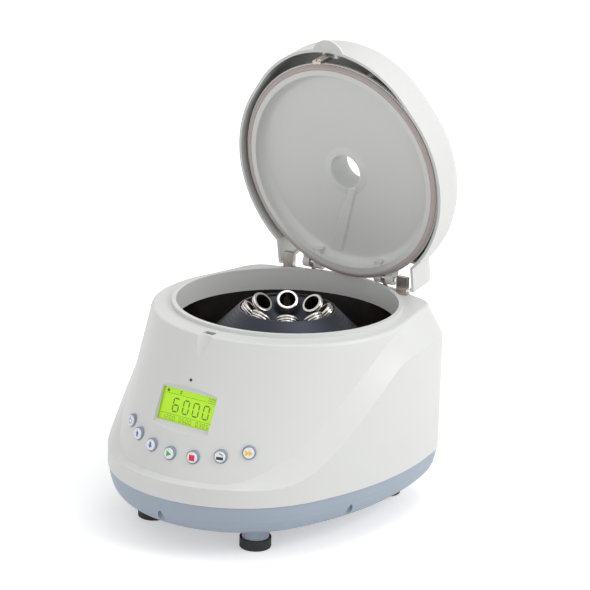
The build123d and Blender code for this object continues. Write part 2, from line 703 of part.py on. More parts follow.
# Angle rotor with its eight bores
with BuildPart() as rotor_body:
    with BuildSketch(Plane.XZ):
        with BuildLine():
            bore = SHAFT_RADIUS + SHAFT_PLAY
            edge = ROTOR_BAND / sqrt(2)
            Polyline((bore, HUB_FOOT_Z), (HUB_RADIUS, HUB_FOOT_Z), (HUB_RADIUS, WEB_Z + 2), (60, WEB_Z + 2),
                     (ROTOR_RADIUS - 15.8, 129.8), (ROTOR_RADIUS, 145.6), (ROTOR_RADIUS, 149.1),
                     (RING_RADIUS, RING_Z), (RING_RADIUS - RING_LIP, RING_Z),
                     (RING_RADIUS - RING_LIP, RING_Z - 2.8), (18, 170.6), (18, HUB_TOP_Z), (bore, HUB_TOP_Z),
                     (bore, HUB_FOOT_Z))
        make_face()
    revolve(axis=Axis.Z)
    for place in range(PLACES):
        with BuildSketch(tube_plane(place, 0)):
            Circle(SHIELD_RADIUS + SHIELD_PLAY)
        extrude(amount=SHIELD_LENGTH + 0.4, mode=Mode.SUBTRACT)
        with BuildSketch(tube_plane(place, 5)):
            Circle(SHIELD_COLLAR + SHIELD_PLAY)
        extrude(amount=SHIELD_SEAT + 0.03 - 5, mode=Mode.SUBTRACT)

with BuildPart() as rotor_nut:
    with BuildSketch(Plane.XY.offset(HUB_TOP_Z)):
        Circle(NUT_RADIUS)
    extrude(amount=NUT_HEIGHT)
    fillet(rotor_nut.edges().group_by(Axis.Z)[-1], 2)
    with BuildSketch(Plane.XY.offset(HUB_TOP_Z)):
        Circle(THREAD_RADIUS + SHAFT_PLAY)
    extrude(amount=10.4, mode=Mode.SUBTRACT)
    with BuildSketch(Plane.XY.offset(HUB_TOP_Z + NUT_HEIGHT)):
        RegularPolygon(4.6, 6)
    extrude(amount=-2, mode=Mode.SUBTRACT)

with BuildPart() as shield:
    with BuildSketch(Plane.XZ):
        with BuildLine():
            mouth = SHIELD_RADIUS - SHIELD_WALL
            wall = Polyline((mouth, 0), (SHIELD_RADIUS + 0.6, 0))
            rim = ThreePointArc(wall @ 1, (SHIELD_RIM, 1.5), (SHIELD_RADIUS + 0.6, 3))
            bead = ThreePointArc(rim @ 1, (SHIELD_RIM - 0.4, 4.4), (SHIELD_RADIUS + 0.6, 5.8))
            collar = Polyline(bead @ 1, (SHIELD_NECK, 6.2), (SHIELD_NECK, 7.2), (SHIELD_COLLAR, 7.6),
                              (SHIELD_COLLAR, SHIELD_SEAT), (SHIELD_RADIUS, SHIELD_SEAT),
                              (SHIELD_RADIUS, SHIELD_LENGTH - SHIELD_ROUND))
            foot = RadiusArc(collar @ 1, (SHIELD_RADIUS - SHIELD_ROUND, SHIELD_LENGTH), SHIELD_ROUND)
            floor = Polyline(foot @ 1, (0, SHIELD_LENGTH), (0, SHIELD_LENGTH - SHIELD_WALL),
                             (SHIELD_RADIUS - SHIELD_ROUND, SHIELD_LENGTH - SHIELD_WALL))
            hollow = RadiusArc(floor @ 1, (mouth, SHIELD_LENGTH - SHIELD_ROUND), SHIELD_WALL - SHIELD_ROUND)
            Line(hollow @ 1, (mouth, 0))
        make_face()
    revolve(axis=Axis.Z)

with BuildPart() as cushion:
    with BuildSketch(Plane.XY.offset(SHIELD_LENGTH - SHIELD_WALL - 0.05)):
        Circle(SHIELD_RADIUS - SHIELD_ROUND - 0.2)
    extrude(amount=-CUSHION_THICK)

tube_shields = Part() + [tube_plane(place, 0).location * shield.part for place in range(PLACES)]
tube_cushions = Part() + [tube_plane(place, 0).location * cushion.part for place in range(PLACES)]

# Display: clear pane, panel and board, all parallel
with BuildPart() as display_window:
    with BuildSketch(display_plane(0.05)):
        Rectangle(DISPLAY_WIDTH + 2 * PANE_LAP - 0.6, DISPLAY_HEIGHT + 2 * PANE_LAP - 0.6)
    extrude(amount=PANE_THICK)

with BuildPart() as lcd_panel:
    with BuildSketch(display_plane(0)):
        Rectangle(DISPLAY_WIDTH + 2 * PANE_LAP, DISPLAY_HEIGHT + 2 * PANE_LAP)
    extrude(amount=-LCD_THICK)
    with BuildSketch(display_plane(-LCD_THICK)):
        with GridLocations(60, DISPLAY_HEIGHT - 4, 2, 2):
            Circle(1.2)
    extrude(amount=-(POD_DEPTH - LCD_THICK))

with BuildPart() as control_board:
    with BuildSketch(display_plane(-POD_DEPTH)):
        RectangleRounded(2 * BOARD_POST_X + 8, 2 * BOARD_POST_Y + 10, 2)
        with GridLocations(2 * BOARD_POST_X, 2 * BOARD_POST_Y, 2, 2):
            Circle(BOARD_SCREW_RADIUS + PLAY, mode=Mode.SUBTRACT)
    extrude(amount=-BOARD_THICK)
    with BuildSketch(display_plane(-POD_DEPTH - BOARD_THICK)):
        Rectangle(14, 14)
        with Locations((-24, 4), (24, -6)):
            Rectangle(10, 16)
    extrude(amount=-3)

panel_seat = display_plane(-POD_DEPTH - BOARD_THICK)
board_screws = screws(Plane(origin=panel_seat.origin, x_dir=(1, 0, 0), z_dir=DISPLAY_NORMAL),
                      [(x, y) for x in (-BOARD_POST_X, BOARD_POST_X) for y in (-BOARD_POST_Y, BOARD_POST_Y)],
                      BOARD_SCREW_RADIUS, 2.4, 1.6, BOARD_THICK + 5)

lamp_plane = Plane(origin=front_spot(0, LAMP_Z, 0), x_dir=(1, 0, 0), z_dir=DISPLAY_NORMAL)
with BuildPart() as status_lamp:
    with BuildSketch(lamp_plane.offset(-0.3)):
        Circle(LAMP_HOLE_RADIUS - 0.08)
    extrude(amount=-6)
    with BuildSketch(lamp_plane.offset(-5.5)):
        Circle(1.8)
    extrude(amount=-3)

# Buttons: a cup-shaped bezel with a switch on its floor and a moving cap in front of the switch
with BuildPart() as bezel:
    Cylinder(BEZEL_RADIUS, BEZEL_DEPTH + BEZEL_PROUD, align=(Align.CENTER, Align.CENTER, Align.MAX))
    fillet(bezel.edges().group_by(Axis.Z)[-1], 0.8)
    Cylinder(BEZEL_BORE, BEZEL_DEPTH + BEZEL_PROUD - 2, align=(Align.CENTER, Align.CENTER, Align.MAX),
             mode=Mode.SUBTRACT)

with BuildPart() as cap:
    Cylinder(KEY_RADIUS, KEY_LENGTH, align=(Align.CENTER, Align.CENTER, Align.MAX))
    fillet(cap.edges().group_by(Axis.Z)[-1], 0.8)
    with Locations((0, KEY_RADIUS - 1.2, 0)):
        Box(1.6, 2.4, 1.6, mode=Mode.SUBTRACT)

with BuildPart() as tact:
    switch_floor = -(BEZEL_DEPTH + BEZEL_PROUD - 2)
    with Locations((0, 0, switch_floor)):
        Box(8, 8, 3.4, align=(Align.CENTER, Align.CENTER, Align.MIN))
    plunger_top = KEY_PROUD - KEY_LENGTH - KEY_TRAVEL - 0.1
    with Locations((0, 0, switch_floor)):
        Cylinder(1.8, plunger_top - switch_floor, align=(Align.CENTER, Align.CENTER, Align.MIN))

bezel_planes = [plane.offset(BEZEL_PROUD) for plane in button_planes]
button_bezels = Part() + [plane.location * bezel.part for plane in bezel_planes]
button_switches = Part() + [plane.location * tact.part for plane in bezel_planes]
key_parts = [plane.offset(KEY_PROUD).location * cap.part for plane in bezel_planes]

# Hinge brackets on the deck and their pins
bracket_foot = [(41.5, 112.6), (50, 109.3), (60, 104.3), (65.5, 101.2), (80, 101.2), (80, 108.8), (60, 112.8),
                (41.5, 115.8)]


def hinge_bracket(side):
    """Base plate, knuckle and outer post of one bracket; side is 1 on the right and -1 on the left."""
    with BuildPart() as bracket:
        with BuildSketch(Plane.XY.offset(DECK_Z)):
            with BuildLine():
                Polyline(*[(side * x, y) for x, y in bracket_foot], close=True)
            make_face()
        extrude(amount=BRACKET_THICK)
        with BuildSketch(Plane.YZ.offset(side * KNUCKLE_X[0])):
            with Locations((114.2, (DECK_Z + HINGE_Z) / 2)):
                Rectangle(3, HINGE_Z - DECK_Z)
            with Locations((HINGE_Y, HINGE_Z)):
                Circle(KNUCKLE_RADIUS)
                Circle(PIN_RADIUS + SHAFT_PLAY, mode=Mode.SUBTRACT)
        extrude(amount=side * (KNUCKLE_X[1] - KNUCKLE_X[0]))
        with BuildSketch(Plane.XY.offset(DECK_Z)):
            with Locations((side * (BLOCK_X[0] + BLOCK_X[1]) / 2, (BLOCK_Y[0] + BLOCK_Y[1]) / 2)):
                Rectangle(BLOCK_X[1] - BLOCK_X[0], BLOCK_Y[1] - BLOCK_Y[0])
        extrude(amount=BLOCK_TOP_Z - DECK_Z)
        with BuildSketch(Plane.XZ.offset(-BLOCK_Y[1])):
            with Locations((side * (BLOCK_X[0] + BLOCK_X[1]) / 2, (DECK_Z + BLOCK_TOP_Z) / 2 + 0.2)):
                Rectangle(BLOCK_X[1] - BLOCK_X[0] - 4, BLOCK_TOP_Z - DECK_Z - 4.4)
        extrude(amount=BLOCK_Y[1] - BLOCK_Y[0] - 2, mode=Mode.SUBTRACT)
    return bracket.part


hinge_bracket_right = hinge_bracket(1)
hinge_bracket_left = hinge_bracket(-1)

with BuildPart() as hinge_pins:
    with BuildSketch(Plane.YZ):
        with Locations((HINGE_Y, HINGE_Z)):
            Circle(PIN_RADIUS)
    extrude(amount=PIN_END, both=True)
    with BuildSketch(Plane.YZ):
        with Locations((HINGE_Y, HINGE_Z)):
            Circle(PIN_RADIUS + 1)
    extrude(amount=PIN_START, both=True, mode=Mode.SUBTRACT)


def lid_form(inset, foot):
    """Outer form of the lid above a level, drawn in by an inset."""
    with BuildPart() as form:
        with BuildSketch(lid_level(foot)):
            Circle(LIP_RADIUS - inset)
            with Locations((0, -NOSE_SHIFT)):
                Circle(NOSE_RADIUS - inset)
            make_hull()
            with Locations((0, TAIL_Y / 2)):
                Rectangle(2 * (TAIL_X - inset), TAIL_Y - 2 * inset)
        extrude(amount=DOME_TOP_Z - inset - foot)
        fillet(form.faces().sort_by(Axis(lid_point(0, 0, 0), LID_UP))[-1].edges(), DOME_ROUND - inset)
    return form.part


# Lid shell
lid_screw_points = [(LID_SCREW_CIRCLE * cos(radians(turn)), LID_SCREW_CIRCLE * sin(radians(turn)))
                    for turn in LID_SCREW_TURNS]
dome = lid_form(0, LIP_Z) - lid_form(LID_WALL, LIP_Z - 1)

with BuildPart() as lid_bosses:
    with BuildSketch(lid_level(LINER_FLOOR_Z + LINER_PLATE + 0.1)):
        with Locations((0, PORT_Y)):
            Circle(SIGHT_RADIUS + 2)
        with Locations((0, TAIL_MOUTH_Y - LID_WALL / 2)):
            Rectangle(2 * TAIL_X - 4, LID_WALL)
    extrude(amount=DOME_TOP_Z - LINER_FLOOR_Z - LINER_PLATE - 1)
    with BuildSketch(lid_level(GASKET_TOP_Z + FLANGE_THICK + 0.05)):
        with Locations(*lid_screw_points):
            Circle(LID_BOSS_RADIUS)
    extrude(amount=DOME_TOP_Z - GASKET_TOP_Z - FLANGE_THICK - 2)
    with BuildSketch(lid_level(LIP_Z + 3)):
        with Locations((0, -STRIKER_Y - 1.3)):
            Rectangle(18, 9)
    extrude(amount=DOME_TOP_Z - LIP_Z - 6)

with BuildPart() as lid_shell:
    add(dome)
    add(lid_bosses.part & lid_form(0, LIP_Z))
    with BuildSketch(lid_level(TAB_Z)):
        with Locations((0, TAB_RADIUS - NOSE_Y - TAB_REACH)):
            Circle(TAB_RADIUS)
        with Locations((0, 30 - TAB_ROOT_Y)):
            Rectangle(60, 60, mode=Mode.SUBTRACT)
    extrude(amount=TAB_THICK)
    # Open mouth at the back for the hinges, screw holes and the sight port
    with BuildSketch(lid_level(LIP_Z - 2)):
        with Locations((0, TAIL_MOUTH_Y + 20)):
            Rectangle(2 * TAIL_MOUTH_X, 40)
    extrude(amount=60, mode=Mode.SUBTRACT)
    with BuildSketch(lid_level(GASKET_TOP_Z + FLANGE_THICK)):
        with Locations(*lid_screw_points):
            Circle(LID_SCREW_RADIUS + PLAY)
    extrude(amount=10, mode=Mode.SUBTRACT)
    with BuildSketch(lid_level(LINER_FLOOR_Z)):
        with Locations((0, PORT_Y)):
            Circle(PORT_RADIUS)
    extrude(amount=40, mode=Mode.SUBTRACT)
    with BuildSketch(lid_level(SIGHT_Z)):
        with Locations((0, PORT_Y)):
            Circle(SIGHT_RADIUS + PLAY)
    extrude(amount=20, mode=Mode.SUBTRACT)
    with BuildSketch(lid_level(STRIKER_TOP_Z + 0.1)):
        with Locations((0, -STRIKER_Y)):
            Rectangle(STRIKER_WIDTH + 0.2, STRIKER_THICK + 0.2)
        with Locations((0, -STRIKER_Y + 0.5)):
            Rectangle(STRIKER_WIDTH + 0.2, 3.7)
    extrude(amount=-40, mode=Mode.SUBTRACT)

# Inner lid with the gasket's seat, the port ring and the four hinge lugs
with BuildPart() as lid_liner:
    with BuildSketch(lid_side(0)):
        with BuildLine():
            lip = Polyline((0, LINER_FLOOR_Z), (0, LINER_FLOOR_Z + LINER_PLATE), (-LINER_RING, LINER_FLOOR_Z + LINER_PLATE),
                           (-LINER_RING, GASKET_TOP_Z + FLANGE_THICK), (-LINER_RADIUS, GASKET_TOP_Z + FLANGE_THICK),
                           (-LINER_RADIUS, GASKET_TOP_Z), (-LINER_RING, GASKET_TOP_Z), (-LINER_RING, LINER_LIP_Z),
                           (-LINER_LIP_IN, LINER_LIP_Z), (-LINER_LIP_IN, LINER_FLOOR_Z - DISH_ROUND))
            dish = JernArc(lip @ 1, (0, 1), DISH_ROUND, -90)
            Line(dish @ 1, (0, LINER_FLOOR_Z))
        make_face()
    revolve(axis=Axis(lid_point(0, 0, 0), LID_UP))
    with BuildSketch(lid_level(LINER_FLOOR_Z)):
        with Locations((0, PORT_Y)):
            Circle(SWELL_RADIUS)
    with BuildSketch(lid_level(PORT_RING_Z)):
        with Locations((0, PORT_Y)):
            Circle(PORT_RING)
    loft()
    with BuildSketch(lid_level(LINER_FLOOR_Z + 0.5)):
        with BuildLine():
            Polyline(*RIB_FOOT, close=True)
        make_face()
    with BuildSketch(lid_level(LINER_FLOOR_Z - RIB_HEIGHT)):
        with BuildLine():
            Polyline(*RIB_CREST, close=True)
        make_face()
    loft()
    for low, high in LUG_X:
        for side in (-1, 1):
            with BuildSketch(lid_side(side * low)):
                with BuildLine():
                    Polyline((96, GASKET_TOP_Z), (HINGE_Y, GASKET_TOP_Z), (HINGE_Y, HINGE_Z + LUG_RADIUS),
                             (104, LINER_FLOOR_Z + LINER_PLATE), (96, LINER_FLOOR_Z + LINER_PLATE), close=True)
                make_face()
                with Locations((HINGE_Y, HINGE_Z)):
                    Circle(LUG_RADIUS)
            extrude(amount=side * (high - low))
    with BuildSketch(lid_side(0)):
        with Locations((HINGE_Y, HINGE_Z)):
            Circle(PIN_RADIUS + SHAFT_PLAY)
    extrude(amount=70, both=True, mode=Mode.SUBTRACT)
    for side in (-1, 1):
        with BuildSketch(lid_side(side * LUG_X[0][1])):
            with Locations((HINGE_Y, HINGE_Z)):
                Circle(KNUCKLE_RADIUS + KNUCKLE_PLAY)
        extrude(amount=side * (LUG_X[1][0] - LUG_X[0][1]), mode=Mode.SUBTRACT)
    with BuildSketch(lid_level(GASKET_TOP_Z)):
        Circle(GASKET_OUT + 0.4)
        Circle(LINER_RING, mode=Mode.SUBTRACT)
    extrude(amount=-10, mode=Mode.SUBTRACT)
    with BuildSketch(lid_level(PORT_RING_Z - 4)):
        with Locations((0, PORT_Y)):
            Circle(PORT_RADIUS)
    extrude(amount=23, mode=Mode.SUBTRACT)
    with BuildSketch(lid_level(GASKET_TOP_Z)):
        with Locations(*lid_screw_points):
            Circle(LID_SCREW_HEAD + PLAY)
    extrude(amount=LID_SCREW_SINK, mode=Mode.SUBTRACT)
    with BuildSketch(lid_level(GASKET_TOP_Z)):
        with Locations(*lid_screw_points):
            Circle(LID_SCREW_RADIUS + PLAY)
    extrude(amount=FLANGE_THICK + 1, mode=Mode.SUBTRACT)

with BuildPart() as sight_window:
    with BuildSketch(lid_level(SIGHT_Z + 0.05)):
        with Locations((0, PORT_Y)):
            Circle(SIGHT_RADIUS)
    extrude(amount=SIGHT_THICK)

with BuildPart() as lid_gasket:
    with BuildSketch(lid_side(0)):
        with BuildLine():
            Polyline((-GASKET_IN, GASKET_TOP_Z - 0.05), (-GASKET_OUT, GASKET_TOP_Z - 0.05),
                     (-GASKET_OUT, BEAD_Z + GASKET_GAP + GASKET_BEVEL), (-GASKET_STEP, BEAD_Z + GASKET_GAP),
                     (-GASKET_IN - 0.8, BEAD_Z + GASKET_GAP), (-GASKET_IN, BEAD_Z + GASKET_GAP + 0.8), close=True)
        make_face()
    revolve(axis=Axis(lid_point(0, 0, 0), LID_UP))

with BuildPart() as latch_striker:
    with BuildSketch(Plane(origin=lid_point(0, -STRIKER_Y - STRIKER_THICK / 2, 0), x_dir=(1, 0, 0),
                           z_dir=(0, -LID_BACK[1], -LID_BACK[2]))):
        with Locations((0, (STRIKER_TIP_Z + STRIKER_TOP_Z) / 2)):
            RectangleRounded(STRIKER_WIDTH, STRIKER_TOP_Z - STRIKER_TIP_Z, 1.2)
        with Locations((0, STRIKER_HOLE_Z)):
            Circle(STRIKER_HOLE_RADIUS, mode=Mode.SUBTRACT)
    extrude(amount=-STRIKER_THICK)
    for side in (-1, 1):
        with BuildSketch(lid_side(side * (STRIKER_WIDTH / 2 - SHEET))):
            with Locations((-STRIKER_Y + 0.5, (STRIKER_TIP_Z + STRIKER_TOP_Z) / 2 + 2)):
                Rectangle(3.5, STRIKER_TOP_Z - STRIKER_TIP_Z - 6)
        extrude(amount=side * SHEET)

lid_screws = screws(lid_level(GASKET_TOP_Z + LID_SCREW_SINK), lid_screw_points, LID_SCREW_RADIUS, LID_SCREW_HEAD,
                    LID_SCREW_SINK - 0.1, 9)

# Latch below the slot: a pawl on a pin between two steel cheeks, pushed by a solenoid
with BuildPart() as latch_frame:
    for side in (-1, 1):
        with BuildSketch(Plane.YZ.offset(side * LATCH_CHEEK)):
            with Locations((-125.2, 182)):
                Rectangle(8.6, 47.8)
            with Locations((PAWL_Y, PAWL_Z)):
                Circle(LATCH_PIN_RADIUS + PLAY, mode=Mode.SUBTRACT)
        extrude(amount=side * SHEET)
        with BuildSketch(Plane.XY.offset(DECK_Z - WALL - 0.1 - SHEET)):
            with Locations((side * (LATCH_CHEEK + 6), -125.2)):
                Rectangle(12, 8.6)
        extrude(amount=SHEET)
    with BuildSketch(Plane.XZ.offset(129.5)):
        with Locations((0, SOLENOID_Z)):
            Rectangle(2 * (LATCH_CHEEK + SHEET), 14)
            Circle(PLUNGER_RADIUS + PLAY, mode=Mode.SUBTRACT)
    extrude(amount=SHEET)

with BuildPart() as latch_pin:
    with BuildSketch(Plane.YZ):
        with Locations((PAWL_Y, PAWL_Z)):
            Circle(LATCH_PIN_RADIUS)
    extrude(amount=LATCH_CHEEK + SHEET + 0.8, both=True)

with BuildPart() as latch_pawl:
    with BuildSketch(Plane.YZ):
        with Locations((PAWL_Y, (164 + 196.3) / 2)):
            RectangleRounded(5, 196.3 - 164, 1)
        with Locations((PAWL_Y - 2.2, 194.7)):
            Rectangle(4.4, 3.2)
        with Locations((PAWL_Y, PAWL_Z)):
            Circle(4)
            Circle(LATCH_PIN_RADIUS + 0.08, mode=Mode.SUBTRACT)
    extrude(amount=2, both=True)

with BuildPart() as latch_solenoid:
    with BuildSketch(Plane.XZ.offset(129.5 + SHEET)):
        with Locations((0, SOLENOID_Z)):
            Circle(COIL_RADIUS)
    extrude(amount=COIL_LENGTH)
    with BuildSketch(Plane.XZ.offset(129.5 + SHEET + 2)):
        with Locations((0, SOLENOID_Z)):
            Circle(COIL_RADIUS + 1)
            Circle(COIL_RADIUS - 1.4, mode=Mode.SUBTRACT)
    extrude(amount=COIL_LENGTH - 4, mode=Mode.SUBTRACT)
    with BuildSketch(Plane.XZ.offset(129.5 + SHEET)):
        with Locations((0, SOLENOID_Z)):
            Circle(PLUNGER_RADIUS + 0.08)
    extrude(amount=COIL_LENGTH - 2, mode=Mode.SUBTRACT)

with BuildPart() as latch_plunger:
    with BuildSketch(Plane.XZ.offset(-PAWL_Y + 2.8)):
        with Locations((0, SOLENOID_Z)):
            Circle(PLUNGER_RADIUS)
    extrude(amount=21)

with BuildPart() as latch_spring:
    with BuildLine():
        coil = Helix(pitch=1.05, height=4.2, radius=3.1, center=(3.9, PAWL_Y, PAWL_Z), direction=(1, 0, 0))
    with BuildSketch(Plane(origin=coil @ 0, z_dir=coil % 0)):
        Circle(0.4)
    sweep()

with BuildPart() as lid_switch:
    with BuildSketch(Plane.XY.offset(DECK_Z - WALL - 0.1)):
        with Locations((-15, -133.35)):
            Rectangle(5, 6.5)
    extrude(amount=-9)
    with BuildSketch(Plane.YZ.offset(-12.6)):
        with Locations((-132.5, 201)):
            Circle(1)
    extrude(amount=2.6)

# Power inlet, rocker switch, power board and transformer
with BuildPart() as power_inlet:
    with BuildSketch(Plane.XZ.offset(-REAR_PANEL_Y - 0.05)):
        with Locations((INLET_X, INLET_Z)):
            RectangleRounded(INLET_WIDTH + 8, INLET_HEIGHT + 7, 3)
    extrude(amount=-2.5)
    with BuildSketch(Plane.XZ.offset(-REAR_PANEL_Y - 0.05)):
        with Locations((INLET_X, INLET_Z)):
            Rectangle(INLET_WIDTH, INLET_HEIGHT)
    extrude(amount=21)
    with BuildSketch(Plane.XZ.offset(-REAR_PANEL_Y - 2.55)):
        with Locations((INLET_X, INLET_Z)):
            RectangleRounded(INLET_WIDTH - 3, INLET_HEIGHT - 4, 2.5)
    extrude(amount=19, mode=Mode.SUBTRACT)
    with BuildSketch(Plane.XZ.offset(-REAR_PANEL_Y + 17)):
        with Locations((INLET_X - 7, INLET_Z - 2), (INLET_X, INLET_Z + 2), (INLET_X + 7, INLET_Z - 2)):
            Rectangle(2, 4)
    extrude(amount=-17)

with BuildPart() as mains_switch:
    with BuildSketch(Plane.XZ.offset(-REAR_PANEL_Y - 0.05)):
        with Locations((SWITCH_X, INLET_Z)):
            RectangleRounded(SWITCH_WIDTH + 3, SWITCH_HEIGHT + 4, 1.5)
    extrude(amount=-2)
    with BuildSketch(Plane.XZ.offset(-REAR_PANEL_Y - 0.05)):
        with Locations((SWITCH_X, INLET_Z)):
            Rectangle(SWITCH_WIDTH, SWITCH_HEIGHT)
    extrude(amount=16)
    with BuildSketch(Plane.XZ.offset(-REAR_PANEL_Y - 2.05)):
        with Locations((SWITCH_X, INLET_Z)):
            Rectangle(SWITCH_WIDTH - 2, SWITCH_HEIGHT - 2)
    extrude(amount=12, mode=Mode.SUBTRACT)

with BuildPart() as mains_rocker:
    with BuildSketch(Plane.YZ.offset(SWITCH_X - (SWITCH_WIDTH - 3.2) / 2)):
        with BuildLine():
            outline = [(-3, -3), (1.4, -7.8), (4.4, -7.4), (2.6, 0), (4.4, 7.4), (1.4, 7.8), (-3, 3)]
            Polyline(*[(ROCKER_Y + y, INLET_Z + z) for y, z in outline], close=True)
        make_face()
    extrude(amount=SWITCH_WIDTH - 3.2)

with BuildPart() as power_board:
    with BuildSketch(Plane.XY.offset(BOARD_Z)):
        with Locations((0, BOARD_Y)):
            Rectangle(BOARD_LENGTH, BOARD_DEPTH)
        with Locations(*board_points):
            Circle(BOARD_SCREW_RADIUS + PLAY, mode=Mode.SUBTRACT)
    extrude(amount=BOARD_THICK)
    with BuildSketch(Plane.XY.offset(BOARD_Z + BOARD_THICK)):
        with Locations((-36, BOARD_Y), (-20, BOARD_Y)):
            Circle(6)
    extrude(amount=22)
    with BuildSketch(Plane.XY.offset(BOARD_Z + BOARD_THICK)):
        with Locations((4, BOARD_Y - 4)):
            Rectangle(20, 16)
        with Locations((34, BOARD_Y)):
            Rectangle(4, 28)
    extrude(amount=16)

power_screws = screws(Plane(origin=(0, 0, BOARD_Z + BOARD_THICK), x_dir=(1, 0, 0), z_dir=(0, 0, -1)),
                      [(x, -y) for x, y in board_points], BOARD_SCREW_RADIUS, 2.6, 1.6, 8)

with BuildPart() as transformer:
    with BuildSketch(Plane.XY.offset(TRAY_FLOOR_Z + WALL)):
        with Locations((0, -TRANSFORMER_Y)):
            Rectangle(66, 40)
    extrude(amount=42)
    with BuildSketch(Plane.XY.offset(TRAY_FLOOR_Z + WALL + 8)):
        with Locations((0, -TRANSFORMER_Y)):
            Rectangle(44, 60)
    extrude(amount=26)

# Every piece by the name of its file
pieces = {
    "upper_housing": upper_housing.part,
    "base_tray": base_tray.part,
    "rubber_feet": rubber_feet.part,
    "foot_screws": foot_screws,
    "case_screws": case_screws,
    "chamber_bowl": chamber_bowl.part,
    "motor_seal": motor_seal.part,
    "motor_plate": motor_plate.part,
    "vibration_mounts": vibration_mounts,
    "plate_screws": plate_screws,
    "motor_body": motor_body.part,
    "motor_shaft": motor_shaft.part,
    "rotor_body": rotor_body.part,
    "rotor_nut": rotor_nut.part,
    "tube_shields": tube_shields,
    "tube_cushions": tube_cushions,
    "display_window": display_window.part,
    "lcd_panel": lcd_panel.part,
    "control_board": control_board.part,
    "board_screws": board_screws,
    "status_lamp": status_lamp.part,
    "button_bezels": button_bezels,
    "button_switches": button_switches,
    "hinge_bracket_left": hinge_bracket_left,
    "hinge_bracket_right": hinge_bracket_right,
    "hinge_pins": hinge_pins.part,
    "lid_shell": lid_shell.part,
    "lid_liner": lid_liner.part,
    "lid_gasket": lid_gasket.part,
    "lid_screws": lid_screws,
    "sight_window": sight_window.part,
    "latch_striker": latch_striker.part,
    "latch_frame": latch_frame.part,
    "latch_pin": latch_pin.part,
    "latch_pawl": latch_pawl.part,
    "latch_spring": latch_spring.part,
    "latch_solenoid": latch_solenoid.part,
    "latch_plunger": latch_plunger.part,
    "lid_switch": lid_switch.part,
    "power_inlet": power_inlet.part,
    "mains_switch": mains_switch.part,
    "mains_rocker": mains_rocker.part,
    "power_board": power_board.part,
    "power_screws": power_screws,
    "transformer": transformer.part,
}
for name, part in zip(KEY_NAMES, key_parts):
    pieces[name] = part

# Move the origin under the middle of the open instrument's bounding box and write the files
boxes = [piece.bounding_box() for piece in pieces.values()]
front = min(box.min.Y for box in boxes)
back = max(box.max.Y for box in boxes)
shift = -(front + back) / 2
os.makedirs("parts", exist_ok=True)
for name, piece in pieces.items():
    moved = Pos(0, shift, 0) * piece
    moved.label = name
    export_step(moved, f"parts/{name}.step")
print("shift in y:", round(shift, 3), "depth:", round(back - front, 2))
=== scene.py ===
# %% [markdown]
# # A benchtop centrifuge, dressed for its picture
# The instrument stands on a bench with its lid held open by the hinges. The shapes come from the
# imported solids, so this script only loads them, gives every surface the finish it has on the real
# object, and adds what is too fine for solids: the figures on the display, the signs on the buttons
# and the windings of a coil. The rotor's axis is measured from the motor's shaft, because several
# finishes and places below are centred on it.

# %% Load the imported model
import bpy
from math import cos, pi, radians, sin
from mathutils import Matrix, Vector


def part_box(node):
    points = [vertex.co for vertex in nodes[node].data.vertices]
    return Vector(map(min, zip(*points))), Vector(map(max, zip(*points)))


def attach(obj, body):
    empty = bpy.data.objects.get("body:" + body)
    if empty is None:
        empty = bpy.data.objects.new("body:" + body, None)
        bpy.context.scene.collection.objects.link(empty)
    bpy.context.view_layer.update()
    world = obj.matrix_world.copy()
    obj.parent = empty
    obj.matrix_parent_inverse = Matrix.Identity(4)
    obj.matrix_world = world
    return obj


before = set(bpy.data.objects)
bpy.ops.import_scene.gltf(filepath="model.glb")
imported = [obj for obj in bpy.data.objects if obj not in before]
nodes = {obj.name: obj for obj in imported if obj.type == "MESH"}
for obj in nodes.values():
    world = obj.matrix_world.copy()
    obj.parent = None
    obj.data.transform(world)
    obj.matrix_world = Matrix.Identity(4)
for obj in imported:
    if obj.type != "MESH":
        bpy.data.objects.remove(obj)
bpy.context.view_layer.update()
shaft_low, shaft_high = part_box("motor_shaft")
rotor_axis_y = (shaft_low.y + shaft_high.y) / 2
print(len(nodes), "pieces; the rotor's axis stands at y =", round(rotor_axis_y * 1000, 2), "mm")

# %% [markdown]
# ## Colours and nodes
# Colours are written as the sRGB codes a painter's chart would give, and Blender works in linear
# light, so one function converts them. A second function adds a node with its settings and links,
# which keeps every material below to a few readable lines. The third starts a material and the
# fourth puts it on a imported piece.

# %% Colour and node helpers
MM = 0.001
WHITE = (1.0, 1.0, 1.0, 1.0)


def colour(code):
    """Linear colour of an sRGB code such as #D9DCDD."""
    channels = [int(code[start:start + 2], 16) / 255 for start in (1, 3, 5)]
    linear = [c / 12.92 if c <= 0.04045 else ((c + 0.055) / 1.055) ** 2.4 for c in channels]
    return (*linear, 1.0)


def add_node(tree, kind, settings=None, links=None):
    """Add a node; settings are properties or input values, links go from input name to a socket."""
    node = tree.nodes.new(kind)
    for name, value in (settings or {}).items():
        if hasattr(node, name):
            setattr(node, name, value)
        else:
            node.inputs[name].default_value = value
    for name, socket in (links or {}).items():
        tree.links.new(socket, node.inputs[name])
    return node


def start_material(name):
    """Empty material with a Principled shader and the object's own coordinates."""
    material = bpy.data.materials.new(name)
    material.use_nodes = True
    tree = material.node_tree
    tree.nodes.clear()
    shader = add_node(tree, "ShaderNodeBsdfPrincipled")
    add_node(tree, "ShaderNodeOutputMaterial", links={"Surface": shader.outputs[0]})
    place = add_node(tree, "ShaderNodeTexCoord").outputs["Object"]
    return material, tree, shader, place


def finish_with(node_name, material):
    """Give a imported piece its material."""
    slots = nodes[node_name].data.materials
    if len(slots) == 0:
        slots.append(material)
    for index in range(len(slots)):
        slots[index] = material


print("white reads as", [round(channel, 2) for channel in colour("#FFFFFF")])

